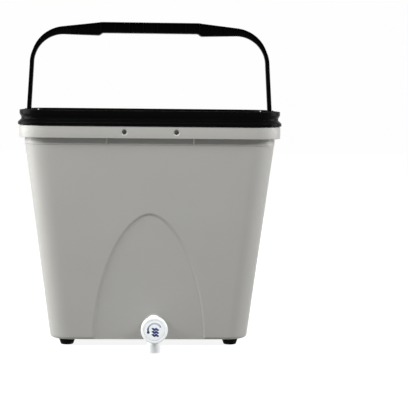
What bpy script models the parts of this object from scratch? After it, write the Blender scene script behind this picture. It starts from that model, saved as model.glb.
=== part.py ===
"""Bokashi bin: a tapered kitchen fermenting bin with a lid, a folding handle, a drain plate and a tap.

Metres, +Z up, front of the bin towards -Y. The floor is at Z = 0. Run it in Blender 4.5.
"""
import math

import bmesh
import bpy
from mathutils import Matrix, Vector

# Shared: how far a cutter runs past what it cuts, the gap between pieces that touch, and when points are one
OVERRUN = 0.004
GAP = 0.0003
MERGE_DISTANCE = 0.00001

# Bucket
BASE_WIDTH = 0.2740
BASE_DEPTH = 0.1820
BASE_CORNER = 0.028
BASE_ROUNDING = 0.004
WALL = 0.0025
FLOOR = 0.0028
WALL_HEIGHT = 0.2699
WALL_SLOPE_SHARE = 0.1213
SHOULDER_STEP = 0.0005
SHOULDER_HEIGHT = 0.0092
SKIRT_HEIGHT = 0.0165
SKIRT_REACH = 0.0076
SKIRT_WALL = 0.0023
SKIRT_ROUNDING = 0.0016
MOUTH_CORNER = 0.0331
UPSTAND = 0.0050
RIM_EDGE = 0.0006

# Round holes and gussets of the rim
RIM_HOLE_SPACING = 0.0696
RIM_HOLE_RADIUS = 0.0031
RIM_HOLE_MOUTH = 0.0045
RIM_HOLE_SINK = 0.0008
GUSSET_SPACING = 0.1170
GUSSET_WALL = 0.0026
GUSSET_DROP = 0.0078

# Arch-shaped recess in the front wall
ARCH_WIDTH = 0.1530
ARCH_HEIGHT = 0.1772
ARCH_DEPTH = 0.0016
ARCH_POWER_SHARE = 1.8
ARCH_POINTS = 28

# Feet
FOOT_HEIGHT = 0.0097
FOOT_TOP_RADIUS = 0.0113
FOOT_BOTTOM_RADIUS = 0.0086
FOOT_ROUNDING = 0.0015
FOOT_SPACING_X = 0.2275
FOOT_SPACING_Y = 0.1320
STUD_RADIUS = 0.0050
STUD_LENGTH = 0.0055

# Lid: heights are above the bucket's rim shelf, reaches are outward from its mouth
LID_WALL = 0.0018
LID_SEAT = 0.0004
FLANGE_REACH = 0.0091
FLANGE_HEIGHT = 0.0036
NECK_REACH = 0.0047
NECK_HEIGHT = 0.0105
TIER_REACH = 0.0069
TIER_BOTTOM = 0.0158
LID_HEIGHT = 0.0205
LID_ROUNDING = 0.0007
WEB_TOP = 0.0096
PANEL_TOP = 0.0050
PLUG_INSET = 0.0048
PLUG_DEPTH = 0.0056
FIELD_INSET = 0.0225
FIELD_RISE = 0.0025

# Gasket
GASKET_THICKNESS = 0.0020
GASKET_INSET = 0.0045
GASKET_REACH = 0.0002

# Handle, measured from its pivot axis
PIVOT_HEIGHT = 0.0168
EYE_RADIUS = 0.0060
LEG_THICKNESS = 0.0060
LEG_HALF_DEPTH = 0.0050
LEG_LEAN_SHARE = 0.060
LEG_CLEARANCE = 0.0008
BEND_HEIGHT = 0.0675
BEND_RADIUS = 0.0418
BEND_GROWTH = 0.0056
BEND_THIN = 0.0058
BEND_START_SHARE = 0.28
ARM_SHOULDER_RISE = 0.0172
ARM_DROP = 0.0012
GRIP_WIDTH = 0.1400
GRIP_THICKNESS = 0.0151
GRIP_STEP = 0.0036
GRIP_HALF_DEPTH = 0.0110
HANDLE_FLANGE = 0.0018
HANDLE_WEB = 0.0030
HANDLE_RIB = 0.0020
HANDLE_CHAMFER = 0.0010
FLANGE_LIMIT_SHARE = 0.33
GRIP_POCKETS = 7
ARM_POCKETS = 3
BEND_POCKETS = 3

# Handle pins and the lugs that hold them
PIN_RADIUS = 0.0025
PIN_HEAD_RADIUS = 0.0040
PIN_HEAD = 0.0014
LUG_RADIUS = 0.0044
LUG_LENGTH = 0.0084
LUG_CLEARANCE = 0.0006
POCKET_HALF_WIDTH = 0.0135
HOUSING_WALL = 0.0020

# Drain plate
PLATE_HEIGHT = 0.0440
PLATE_THICKNESS = 0.0025
PLATE_CLEARANCE = 0.0018
PLATE_LIP = 0.0050
PLATE_LIP_WALL = 0.0020
PLATE_HOLE_RADIUS = 0.0036
PLATE_PITCH = 0.0240
PLATE_MARGIN = 0.0120
PLATE_LEG_RADIUS = 0.0060
PLATE_LEG_SPACING_X = 0.0920
PLATE_LEG_CLEARANCE = 0.0119

# Tap: lengths run outward from the bucket's flat seat
TAP_X = 0.0067
TAP_Z = 0.0346
SEAT_RADIUS = 0.0130
SEAT_PROUD = 0.0005
WASHER_THICKNESS = 0.0020
WASHER_RADIUS = 0.0112
TAP_FLANGE_RADIUS = 0.0112
TAP_FLANGE = 0.0025
BARREL_RADIUS = 0.0088
SHANK_RADIUS = 0.0080
SHANK_BORE = 0.0052
HOUSING_RADIUS = 0.0122
HOUSING_START = 0.0300
HOUSING_LENGTH = 0.0250
SPOUT_REACH = 0.0405
SPOUT_RADIUS = 0.0090
SPOUT_WALL = 0.0018
SPOUT_CLEARANCE = 0.0014
PLUG_RADIUS = 0.0092
PLUG_WALL = 0.0032
PLUG_INSET_ENDS = 0.0016
PLUG_PORT_RADIUS = 0.0050
STEM_RADIUS = 0.0045
RING_SECTION = 0.0009
RING_INSET = 0.0020
KNOB_RADIUS = 0.0179
KNOB_DEPTH = 0.0115
KNOB_WALL = 0.0022
KNOB_ROUNDING = 0.0020
KNOB_CLEARANCE = 0.0014
CAP_RADIUS = 0.0138
CAP_THICKNESS = 0.0016
HUB_CLEARANCE = 0.0010
NUT_THICKNESS = 0.0070
NUT_RADIUS = 0.0132
NUT_SIDES = 6
FILTER_WALL = 0.0015
FILTER_LENGTH = 0.0130
FILTER_GRIP = 0.0040
FILTER_SLOT = 0.0016
FILTER_SLOTS = 4
FILTER_SLOT_SHARE = 0.8

# Fineness of round shapes
CORNER_STEPS = 6
ROUND_STEPS = 20
FINE_STEPS = 28
SMALL_STEPS = 14
HOLE_STEPS = 6
ARC_STEPS = 4
EDGE_STEPS = 2
BEND_STEPS = 9
POCKET_STEPS = 2
RING_SIDES = 6

# Places that follow from the sizes above
BASE_Z = FOOT_HEIGHT + GAP
SKIRT_Z = BASE_Z + WALL_HEIGHT + SHOULDER_HEIGHT
SHELF_Z = SKIRT_Z + SKIRT_HEIGHT
SHOULDER_Z = BASE_Z + WALL_HEIGHT
UPSTAND_Z = SHELF_Z + UPSTAND
PIVOT_Z = SHELF_Z + PIVOT_HEIGHT
SLOPE_ANGLE = math.atan(WALL_SLOPE_SHARE)


class Plan:
    """A rounded rectangle seen from above: half its width, half its depth and its corner radius."""

    def __init__(self, half_x, half_y, corner):
        self.half_x = half_x
        self.half_y = half_y
        self.corner = corner

    def grown(self, reach):
        return Plan(self.half_x + reach, self.half_y + reach, self.corner + reach)

    def ring(self, z):
        """The outline's points at one height, anticlockwise, with each corner as an arc."""
        points = []
        for corner in range(4):
            sign_x = (1, -1, -1, 1)[corner]
            sign_y = (1, 1, -1, -1)[corner]
            centre = Vector((sign_x * (self.half_x - self.corner), sign_y * (self.half_y - self.corner), z))
            for step in range(CORNER_STEPS + 1):
                angle = math.radians(90) * (corner + step / CORNER_STEPS)
                points.append(centre + self.corner * Vector((math.cos(angle), math.sin(angle), 0)))
        return points


def wall_plan(z):
    """Outside of the tapered wall at a height. Its corners stay alike all the way up."""
    reach = WALL_SLOPE_SHARE * (z - BASE_Z)
    share = (z - BASE_Z) / WALL_HEIGHT
    corner = BASE_CORNER + share * (MOUTH_CORNER - BASE_CORNER)
    return Plan(BASE_WIDTH / 2 + reach, BASE_DEPTH / 2 + reach, corner)


WALL_TOP = wall_plan(SHOULDER_Z)
MOUTH = Plan(WALL_TOP.half_x + SHOULDER_STEP, WALL_TOP.half_y + SHOULDER_STEP, MOUTH_CORNER)
SEAT_Y = -(wall_plan(TAP_Z + SEAT_RADIUS).half_y - ARCH_DEPTH + SEAT_PROUD)
SEAT_INNER_Y = -(wall_plan(TAP_Z - SEAT_RADIUS).half_y - ARCH_DEPTH - WALL - SEAT_PROUD)
LEG_X = MOUTH.half_x + TIER_REACH - LID_WALL - LEG_CLEARANCE
LID_OUTER_X = MOUTH.half_x + TIER_REACH
LUG_FACE_X = LEG_X - LEG_THICKNESS - LUG_CLEARANCE
FLANGE_START = GAP + WASHER_THICKNESS + GAP
KNOB_START = SPOUT_REACH + SPOUT_RADIUS + KNOB_CLEARANCE
KNOB_FACE = KNOB_START + KNOB_DEPTH
PLUG_START = HOUSING_START + PLUG_INSET_ENDS
PLUG_END = HOUSING_START + HOUSING_LENGTH - PLUG_INSET_ENDS
NUT_END = SEAT_Y - SEAT_INNER_Y - GAP - WASHER_THICKNESS - GAP - NUT_THICKNESS
SHANK_END = NUT_END - GAP - FILTER_GRIP
FILTER_END = SHANK_END - FILTER_LENGTH
PLATE_LEG_Y = FILTER_END - SEAT_Y - PLATE_LEG_CLEARANCE - PLATE_LEG_RADIUS
TAP_TURN = (math.radians(90), 0, 0)
FRONT_REACH = KNOB_FACE - SEAT_Y
BACK_REACH = MOUTH.half_y + FLANGE_REACH
FRAME_Y = (FRONT_REACH - BACK_REACH) / 2


def clear_scene():
    for obj in list(bpy.data.objects):
        bpy.data.objects.remove(obj, do_unlink=True)


def collection(name):
    made = bpy.data.collections.new(name)
    bpy.context.scene.collection.children.link(made)
    return made


def plastic(name, colour, roughness):
    """A moulded plastic or rubber: its linear colour and roughness, not metallic."""
    material = bpy.data.materials.new(name)
    material.use_nodes = True
    shader = material.node_tree.nodes["Principled BSDF"]
    shader.inputs["Base Color"].default_value = (*colour, 1)
    shader.inputs["Roughness"].default_value = roughness
    shader.inputs["Metallic"].default_value = 0
    return material


def empty(name, parent=None, place=(0, 0, 0)):
    made = bpy.data.objects.new(name, None)
    PARTS.objects.link(made)
    made.parent = parent
    made.location = place
    return made


def add(name, mesh, parent, material, place=(0, 0, 0), turn=(0, 0, 0)):
    """Puts a mesh into the bin as one sub-part."""
    made = bpy.data.objects.new(name, mesh)
    PARTS.objects.link(made)
    made.parent = parent
    made.location = place
    made.rotation_euler = turn
    mesh.materials.append(material)
    mesh.shade_smooth()
    mesh.set_sharp_from_angle(angle=math.radians(30))
    return made


def helper(name, mesh, parent, place=(0, 0, 0), turn=(0, 0, 0)):
    """A shape that only cuts or joins others."""
    made = bpy.data.objects.new(name, mesh)
    HELPERS.objects.link(made)
    made.parent = parent
    made.location = place
    made.rotation_euler = turn
    made.hide_render = True
    made.display_type = "WIRE"
    return made


def boolean(obj, other, operation):
    modifier = obj.modifiers.new(operation.title() + " " + other.name, "BOOLEAN")
    modifier.operation = operation
    modifier.object = other
    modifier.solver = "EXACT"


def cut(obj, other):
    boolean(obj, other, "DIFFERENCE")


def join(obj, other):
    boolean(obj, other, "UNION")


def skin(shape, rings, capped=True):
    """Faces through rings of as many points each. The end rings are capped, or else they meet each other."""
    rows = [[shape.verts.new(point) for point in ring] for ring in rings]
    following = rows[1:] if capped else rows[1:] + rows[:1]
    for lower, upper in zip(rows, following):
        for here in range(len(lower)):
            ahead = (here + 1) % len(lower)
            shape.faces.new((lower[here], lower[ahead], upper[ahead], upper[here]))
    if capped:
        shape.faces.new(rows[0][::-1])
        shape.faces.new(rows[-1])


def loft(name, rings, capped=True):
    """A closed solid through rings of points."""
    mesh = bpy.data.meshes.new(name)
    shape = bmesh.new()
    skin(shape, rings, capped)
    bmesh.ops.recalc_face_normals(shape, faces=shape.faces)
    shape.to_mesh(mesh)
    shape.free()
    return mesh


def cylinders(name, placed, steps):
    """Plain cylinders in one mesh. Each is its centre, axis, radius and length."""
    mesh = bpy.data.meshes.new(name)
    shape = bmesh.new()
    for centre, axis, radius, length in placed:
        turn = Vector(axis).to_track_quat("Z", "Y").to_matrix().to_4x4()
        bmesh.ops.create_cone(shape, cap_ends=True, segments=steps, radius1=radius, radius2=radius,
                              depth=length, matrix=Matrix.Translation(centre) @ turn)
    shape.to_mesh(mesh)
    shape.free()
    return mesh


def boxes(name, placed):
    """Boxes in one mesh. Each is its lowest and its highest corner."""
    mesh = bpy.data.meshes.new(name)
    shape = bmesh.new()
    for low, high in placed:
        low, high = Vector(low), Vector(high)
        size = Matrix.Diagonal((*(high - low), 1))
        bmesh.ops.create_cube(shape, size=1, matrix=Matrix.Translation((low + high) / 2) @ size)
    shape.to_mesh(mesh)
    shape.free()
    return mesh


def slab(name, outline, thickness):
    """A flat outline in its own XY plane, filled and given its thickness about that plane."""
    curve = bpy.data.curves.new(name, "CURVE")
    curve.dimensions = "2D"
    curve.fill_mode = "BOTH"
    curve.extrude = thickness / 2
    spline = curve.splines.new("POLY")
    spline.points.add(len(outline) - 1)
    for point, (x, y) in zip(spline.points, outline):
        point.co = (x, y, 0, 1)
    spline.use_cyclic_u = True
    drawn = bpy.data.objects.new(name, curve)
    HELPERS.objects.link(drawn)
    graph = bpy.context.evaluated_depsgraph_get()
    mesh = bpy.data.meshes.new_from_object(drawn.evaluated_get(graph))
    shape = bmesh.new()
    shape.from_mesh(mesh)
    bmesh.ops.remove_doubles(shape, verts=shape.verts, dist=MERGE_DISTANCE)
    bmesh.ops.recalc_face_normals(shape, faces=shape.faces)
    shape.to_mesh(mesh)
    shape.free()
    bpy.data.objects.remove(drawn, do_unlink=True)
    return mesh


def turned(obj, steps):
    """Turns an object's profile about its own Z axis."""
    screw = obj.modifiers.new("Turned", "SCREW")
    screw.angle = math.radians(360)
    screw.steps = steps
    screw.render_steps = steps
    screw.use_merge_vertices = True
    screw.merge_threshold = MERGE_DISTANCE
    screw.use_smooth_shade = True


def profile(name, points, closed=True):
    """A profile in the XZ plane as radius and height. It runs down its outer side."""
    mesh = bpy.data.meshes.new(name)
    shape = bmesh.new()
    corners = [shape.verts.new((radius, 0, height)) for radius, height in points]
    for here, ahead in zip(corners, corners[1:]):
        shape.edges.new((here, ahead))
    if closed:
        shape.edges.new((corners[-1], corners[0]))
    shape.to_mesh(mesh)
    shape.free()
    return mesh


def arc(centre, radius, start, end, steps=ARC_STEPS):
    """Points along an arc in a plane, from one angle to another in degrees."""
    points = []
    for step in range(steps + 1):
        angle = math.radians(start + (end - start) * step / steps)
        points.append((centre[0] + radius * math.cos(angle), centre[1] + radius * math.sin(angle)))
    return points


def stacked(plan_of, pairs):
    """Rings for a loft from pairs of outward reach and height."""
    return [plan_of(z).grown(reach).ring(z) for reach, z in pairs]


def bucket_rings():
    """The bucket's skin from the middle of its underside, over the rim, to the middle of its floor."""
    under = arc((-BASE_ROUNDING, BASE_Z + BASE_ROUNDING), BASE_ROUNDING, 270, 360)
    rings = stacked(wall_plan, under + [(0, SHOULDER_Z)])
    skirt_in = SKIRT_REACH - SKIRT_WALL
    skirt_top = arc((SKIRT_REACH - SKIRT_ROUNDING, SHELF_Z - SKIRT_ROUNDING), SKIRT_ROUNDING, 0, 90)
    rim = [
        (0, SHOULDER_Z + SHOULDER_STEP),
        (0, SHELF_Z - SKIRT_WALL),
        (skirt_in, SHELF_Z - SKIRT_WALL),
        (skirt_in, SKIRT_Z),
        (SKIRT_REACH - RIM_EDGE, SKIRT_Z),
        (SKIRT_REACH, SKIRT_Z + RIM_EDGE),
        *skirt_top,
        (0, SHELF_Z),
        (0, UPSTAND_Z - RIM_EDGE),
        (-RIM_EDGE, UPSTAND_Z),
        (RIM_EDGE - WALL, UPSTAND_Z),
        (-WALL, UPSTAND_Z - RIM_EDGE),
        (-WALL, SHOULDER_Z + WALL),
    ]
    rings += stacked(lambda z: MOUTH, rim)
    floor_z = BASE_Z + FLOOR
    inside = arc((-WALL - BASE_ROUNDING, floor_z + BASE_ROUNDING), BASE_ROUNDING, 360, 270)
    rings += stacked(wall_plan, [(-WALL, SHOULDER_Z)] + inside)
    return rings


def arch_outline(width, height, below):
    """A tall arch: a curve of a power between a diamond's and an ellipse's, with straight feet below it."""
    points = []
    for step in range(ARCH_POINTS + 1):
        angle = math.radians(180) * step / ARCH_POINTS
        across = math.copysign(abs(math.cos(angle)) ** (2 / ARCH_POWER_SHARE), math.cos(angle))
        up = math.sin(angle) ** (2 / ARCH_POWER_SHARE)
        points.append((width / 2 * across, height * up))
    return points + [(-width / 2, -below), (width / 2, -below)]


def on_wall(inward):
    """Place and turn of a flat helper that leans with the front wall, some way in from its outer face."""
    tilt = math.radians(90) + SLOPE_ANGLE
    across = inward / math.cos(SLOPE_ANGLE)
    return (0, across - BASE_DEPTH / 2, BASE_Z), (tilt, 0, 0)


def add_bucket(root):
    bucket = add("bucket", loft("bucket", bucket_rings()), root, GREY)

    thickness = ARCH_DEPTH + WALL / 2
    outline = arch_outline(ARCH_WIDTH + WALL, ARCH_HEIGHT + WALL, 0)
    place, turn = on_wall(WALL + ARCH_DEPTH - thickness / 2)
    join(bucket, helper("arch_backing", slab("arch_backing", outline, thickness), root, place, turn))

    depth = ARCH_DEPTH + OVERRUN
    outline = arch_outline(ARCH_WIDTH, ARCH_HEIGHT, OVERRUN)
    place, turn = on_wall(ARCH_DEPTH - depth / 2)
    cut(bucket, helper("arch_recess", slab("arch_recess", outline, depth), root, place, turn))

    length = SEAT_INNER_Y - SEAT_Y
    middle = (TAP_X, (SEAT_INNER_Y + SEAT_Y) / 2, TAP_Z)
    seat = cylinders("tap_seat", [(middle, (0, 1, 0), SEAT_RADIUS, length)], ROUND_STEPS)
    join(bucket, helper("tap_seat", seat, root))
    bore = cylinders("tap_hole", [(middle, (0, 1, 0), SHANK_RADIUS + GAP, length + OVERRUN)], ROUND_STEPS)
    cut(bucket, helper("tap_hole", bore, root))

    add_gussets(bucket, root)
    hole_z = (SKIRT_Z + SHELF_Z) / 2
    for side, sign in (("left", -1), ("right", 1)):
        place = (sign * RIM_HOLE_SPACING / 2, -MOUTH.half_y - SKIRT_REACH, hole_z)
        cut(bucket, rim_hole("rim_hole_" + side, root, place))

    stud_top = BASE_Z + FLOOR / 2
    length = stud_top - BASE_Z + STUD_LENGTH
    studs = [((x, y, stud_top - length / 2), (0, 0, 1), STUD_RADIUS, length) for x, y in foot_places()]
    join(bucket, helper("foot_studs", cylinders("foot_studs", studs, SMALL_STEPS), root))
    return bucket


def add_gussets(bucket, root):
    """Two small triangular stiffeners under the rim in front and two behind."""
    skirt_y = MOUTH.half_y + SKIRT_REACH
    outline = [
        (-MOUTH.half_y + WALL / 2, SKIRT_Z - GUSSET_DROP),
        (-MOUTH.half_y + WALL / 2, SHELF_Z - SKIRT_WALL / 2),
        (-skirt_y + SKIRT_WALL / 2, SHELF_Z - SKIRT_WALL / 2),
        (-skirt_y + SKIRT_WALL / 2, SKIRT_Z + RIM_EDGE),
        (-MOUTH.half_y - SHOULDER_STEP, SKIRT_Z - GUSSET_DROP),
    ]
    for side, sign in (("left", -1), ("right", 1)):
        for end, turn_z in (("front", 0), ("back", math.radians(180))):
            name = "gusset_" + end + "_" + side
            mesh = upright(slab(name, outline, GUSSET_WALL), sign * GUSSET_SPACING / 2)
            mesh.transform(Matrix.Rotation(turn_z, 4, "Z"))
            join(bucket, helper(name, mesh, root))


def upright(mesh, x):
    """Stands a flat slab up in the YZ plane, at a place along X."""
    mesh.transform(Matrix.Rotation(math.radians(90), 4, "Z") @ Matrix.Rotation(math.radians(90), 4, "X"))
    mesh.transform(Matrix.Translation((x, 0, 0)))
    return mesh


def rim_hole(name, root, place):
    """A cutter for one round hole in the rim's skirt, with a shallow wider mouth."""
    run = SKIRT_WALL + GAP
    outline = [
        (0, OVERRUN),
        (RIM_HOLE_MOUTH + OVERRUN, OVERRUN),
        (RIM_HOLE_MOUTH, 0),
        (RIM_HOLE_RADIUS, -RIM_HOLE_SINK),
        (RIM_HOLE_RADIUS, -run),
        (0, -run),
    ]
    made = helper(name, profile(name, outline, closed=False), root, place, (math.radians(90), 0, 0))
    turned(made, SMALL_STEPS)
    return made


def foot_places():
    """Front left, front right, back left and back right."""
    x = FOOT_SPACING_X / 2
    y = FOOT_SPACING_Y / 2
    return [(-x, -y), (x, -y), (-x, y), (x, y)]


def add_feet(root):
    """Four tapered feet, each pushed over a stud under the bucket's base."""
    names = ("foot_front_left", "foot_front_right", "foot_back_left", "foot_back_right")
    low = arc((FOOT_BOTTOM_RADIUS - FOOT_ROUNDING, FOOT_ROUNDING), FOOT_ROUNDING, 0, -90, EDGE_STEPS)
    outline = [
        (0, FOOT_HEIGHT - STUD_LENGTH - GAP),
        (STUD_RADIUS + GAP, FOOT_HEIGHT - STUD_LENGTH - GAP),
        (STUD_RADIUS + GAP, FOOT_HEIGHT),
        (FOOT_TOP_RADIUS - RIM_EDGE, FOOT_HEIGHT),
        (FOOT_TOP_RADIUS, FOOT_HEIGHT - RIM_EDGE),
        *low,
        (0, 0),
    ]
    for name, (x, y) in zip(names, foot_places()):
        made = add(name, profile(name, outline, closed=False), root, BLACK_RUBBER, (x, y, 0))
        turned(made, ROUND_STEPS)


def lid_pairs():
    """The lid's skin as reach from the mouth and height above the shelf, from underneath to its top."""
    plug_in = PLUG_INSET + LID_WALL
    flange_in = FLANGE_REACH - LID_WALL
    panel_under = PANEL_TOP - LID_WALL
    web_under = WEB_TOP - LID_WALL
    edge = LID_ROUNDING
    tier_in = TIER_REACH - LID_WALL
    neck_in = NECK_REACH - LID_WALL
    rib_end = -PLUG_DEPTH
    bead = arc((TIER_REACH - edge, LID_HEIGHT - edge), edge, 0, 90, EDGE_STEPS)
    lip = arc((tier_in + edge, LID_HEIGHT - edge), edge, 90, 180, EDGE_STEPS)
    flange = arc((FLANGE_REACH - 2 * edge, FLANGE_HEIGHT), 2 * edge, 0, 60, EDGE_STEPS)
    neck_room = (NECK_HEIGHT - FLANGE_HEIGHT) / 2
    return [
        (-FIELD_INSET - LID_WALL, panel_under + FIELD_RISE),
        (-FIELD_INSET, panel_under),
        (-plug_in, panel_under),
        (-plug_in, rib_end + edge),
        (edge - plug_in, rib_end),
        (-PLUG_INSET - edge, rib_end),
        (-PLUG_INSET, rib_end + edge),
        (-PLUG_INSET, web_under),
        (neck_in, web_under),
        (flange_in, FLANGE_HEIGHT - edge),
        (flange_in, LID_SEAT),
        (FLANGE_REACH - edge, LID_SEAT),
        (FLANGE_REACH, LID_SEAT + edge),
        *flange,
        (NECK_REACH + edge, NECK_HEIGHT - neck_room / 2),
        (NECK_REACH, NECK_HEIGHT - edge),
        (NECK_REACH, NECK_HEIGHT + edge),
        (TIER_REACH - edge, TIER_BOTTOM - edge),
        (TIER_REACH, TIER_BOTTOM),
        *bead,
        *lip,
        (tier_in, TIER_BOTTOM - edge),
        (neck_in + edge, NECK_HEIGHT + edge),
        (neck_in - edge, WEB_TOP),
        (-PLUG_INSET + LID_WALL, WEB_TOP),
        (-PLUG_INSET, WEB_TOP - edge),
        (-plug_in, PANEL_TOP + edge),
        (-plug_in - LID_WALL, PANEL_TOP),
        (-FIELD_INSET + edge, PANEL_TOP),
        (edge - FIELD_INSET - LID_WALL, PANEL_TOP + FIELD_RISE),
    ]


def span(start, end):
    """Two places along an axis, the lower one first."""
    return (start, end) if start < end else (end, start)


def add_lid(root):
    rings = [MOUTH.grown(reach).ring(SHELF_Z + height) for reach, height in lid_pairs()]
    lid = add("lid", loft("lid", rings), root, BLACK)
    add_housings(lid, root)
    add_lugs(lid, root)

    length = LID_OUTER_X - LUG_FACE_X + LUG_LENGTH + OVERRUN
    middle = (LID_OUTER_X + LUG_FACE_X - LUG_LENGTH) / 2
    bores = [((sign * middle, 0, PIVOT_Z), (1, 0, 0), PIN_RADIUS + GAP, length) for sign in (-1, 1)]
    cut(lid, helper("pin_holes", cylinders("pin_holes", bores, SMALL_STEPS), root))
    return lid


def add_housings(lid, root):
    """At the middle of each short side the neck is filled out and hollowed, as room for the handle's eye.

    Each housing starts at the middle of the lid's wall, so the wall's inside stays as it is next to it.
    """
    pocket_inner = LUG_FACE_X + LUG_CLEARANCE / 2
    pocket_outer = LID_OUTER_X - LID_WALL
    half_width = POCKET_HALF_WIDTH + HOUSING_WALL
    neck_x = MOUTH.half_x + NECK_REACH - LID_WALL / 2
    tier_x = LID_OUTER_X - LID_WALL / 2
    outline = [
        (neck_x, SHELF_Z + WEB_TOP - LID_WALL),
        (LID_OUTER_X - GAP, SHELF_Z + WEB_TOP - LID_WALL),
        (LID_OUTER_X - GAP, SHELF_Z + TIER_BOTTOM + LID_WALL),
        (tier_x, SHELF_Z + TIER_BOTTOM + LID_WALL),
        (tier_x, SHELF_Z + TIER_BOTTOM),
        (neck_x, SHELF_Z + NECK_HEIGHT),
    ]
    for side, turn_z in (("right", 0), ("left", math.radians(180))):
        name = "pivot_housing_" + side
        mesh = slab(name, outline, 2 * half_width)
        mesh.transform(Matrix.Rotation(turn_z, 4, "Z") @ Matrix.Rotation(math.radians(90), 4, "X"))
        join(lid, helper(name, mesh, root))
    pockets = []
    ears = []
    for sign in (-1, 1):
        low_x, high_x = span(sign * pocket_inner, sign * pocket_outer)
        low = (low_x, -POCKET_HALF_WIDTH, SHELF_Z + WEB_TOP + GAP)
        pockets.append((low, (high_x, POCKET_HALF_WIDTH, SHELF_Z + LID_HEIGHT + OVERRUN)))
        middle = (sign * (pocket_outer + LID_WALL / 2), 0, PIVOT_Z)
        ears.append((middle, (1, 0, 0), LUG_RADIUS, LID_WALL - GAP))
    join(lid, helper("pivot_ears", cylinders("pivot_ears", ears, ROUND_STEPS), root))
    cut(lid, helper("pivot_pockets", boxes("pivot_pockets", pockets), root))


def add_lugs(lid, root):
    """A round-topped lug inside each of the handle's eyes, with a foot down to the lid's panel."""
    foot = SHELF_Z + WEB_TOP - LID_WALL / 2
    outline = [(-LUG_RADIUS, foot), (LUG_RADIUS, foot)] + arc((0, PIVOT_Z), LUG_RADIUS, 0, 180, 2 * ARC_STEPS)
    feet = []
    for sign in (-1, 1):
        inner = LUG_FACE_X - LUG_LENGTH + GAP
        low_x, high_x = span(sign * inner, sign * (MOUTH.half_x - PLUG_INSET - LID_WALL / 2))
        low = (low_x, GAP - LUG_RADIUS, SHELF_Z + PANEL_TOP - LID_WALL / 2)
        feet.append((low, (high_x, LUG_RADIUS - GAP, PIVOT_Z - LUG_RADIUS)))
    join(lid, helper("lug_feet", boxes("lug_feet", feet), root))
    for side, sign in (("left", -1), ("right", 1)):
        name = "pivot_lug_" + side
        mesh = upright(slab(name, outline, LUG_LENGTH), sign * (LUG_FACE_X - LUG_LENGTH / 2))
        join(lid, helper(name, mesh, root))


def add_gasket(root):
    """A flat rubber ring that fills the lid's channel and rests on the bucket's upstand."""
    low = UPSTAND_Z + GAP
    high = low + GASKET_THICKNESS
    pairs = [(-GASKET_INSET, low), (GASKET_REACH, low), (GASKET_REACH, high), (-GASKET_INSET, high)]
    rings = stacked(lambda z: MOUTH, pairs)
    add("lid_gasket", loft("lid_gasket", rings, capped=False), root, SEAL_RUBBER)


def add_pins(root):
    """Pins pushed outward through the lug, the handle's eye and the lid's wall. Their heads stay inside."""
    inner = LUG_FACE_X - LUG_LENGTH - GAP
    length = LID_OUTER_X - inner
    outline = [
        (0, length),
        (PIN_RADIUS - RIM_EDGE, length),
        (PIN_RADIUS, length - RIM_EDGE),
        (PIN_RADIUS, 0),
        (PIN_HEAD_RADIUS, 0),
        (PIN_HEAD_RADIUS, -PIN_HEAD),
        (0, -PIN_HEAD),
    ]
    for side, sign in (("left", -1), ("right", 1)):
        name = "handle_pin_" + side
        made = add(name, profile(name, outline, closed=False), root, STEEL, (sign * inner, 0, PIVOT_Z),
                   (0, sign * math.radians(90), 0))
        turned(made, SMALL_STEPS)


class HandleShape:
    """The handle's right half as inner and outer edge points in X and Z, measured from its pivot axis."""

    def __init__(self):
        lean = LEG_LEAN_SHARE * (BEND_HEIGHT - EYE_RADIUS)
        self.centre = (LEG_X - LEG_THICKNESS - lean - BEND_RADIUS, BEND_HEIGHT)
        self.leg = BEND_HEIGHT
        self.bend = math.radians(90) * (BEND_RADIUS + LEG_THICKNESS / 2)
        self.arm = self.centre[0] - GRIP_WIDTH / 2
        self.length = self.leg + self.bend + self.arm + GRIP_WIDTH / 2

    def edges(self, run):
        """Inner and outer point and half the depth at a distance run along the leg, bend, arm and grip."""
        if run <= self.leg:
            lean = LEG_LEAN_SHARE * max(run - EYE_RADIUS, 0)
            share = run / self.leg
            outer = LEG_X - lean - share * (LEG_THICKNESS - BEND_THIN)
            return (LEG_X - LEG_THICKNESS - lean, run), (outer, run), LEG_HALF_DEPTH
        if run <= self.leg + self.bend:
            turn = (run - self.leg) / self.bend
            angle = math.radians(90) * turn
            growth = BEND_GROWTH * max(turn - BEND_START_SHARE, 0) / (1 - BEND_START_SHARE)
            outer = BEND_RADIUS + BEND_THIN + growth
            return self.polar(BEND_RADIUS, angle), self.polar(outer, angle), LEG_HALF_DEPTH
        under = BEND_HEIGHT + BEND_RADIUS
        top = under + BEND_THIN + BEND_GROWTH
        along = run - self.leg - self.bend
        x = self.centre[0] - along
        if along <= self.arm:
            share = along / self.arm
            depth = LEG_HALF_DEPTH + share * (GRIP_HALF_DEPTH - LEG_HALF_DEPTH)
            rise = share * (ARM_SHOULDER_RISE - BEND_THIN - BEND_GROWTH)
            return (x, under - share * ARM_DROP), (x, top + rise), depth
        low = under - ARM_DROP + GRIP_STEP
        return (x, low), (x, low + GRIP_THICKNESS), GRIP_HALF_DEPTH

    def polar(self, radius, angle):
        return self.centre[0] + radius * math.cos(angle), self.centre[1] + radius * math.sin(angle)

    def runs(self):
        """Distances at which the handle's sections are taken, from the eye to the middle of the grip."""
        grip = self.leg + self.bend + self.arm
        runs = [0, EYE_RADIUS, self.leg / 2]
        runs += [self.leg + self.bend * step / BEND_STEPS for step in range(BEND_STEPS + 1)]
        runs += [grip - self.arm / 2, grip - GRIP_STEP, grip + GRIP_STEP, self.length]
        return runs


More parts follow.
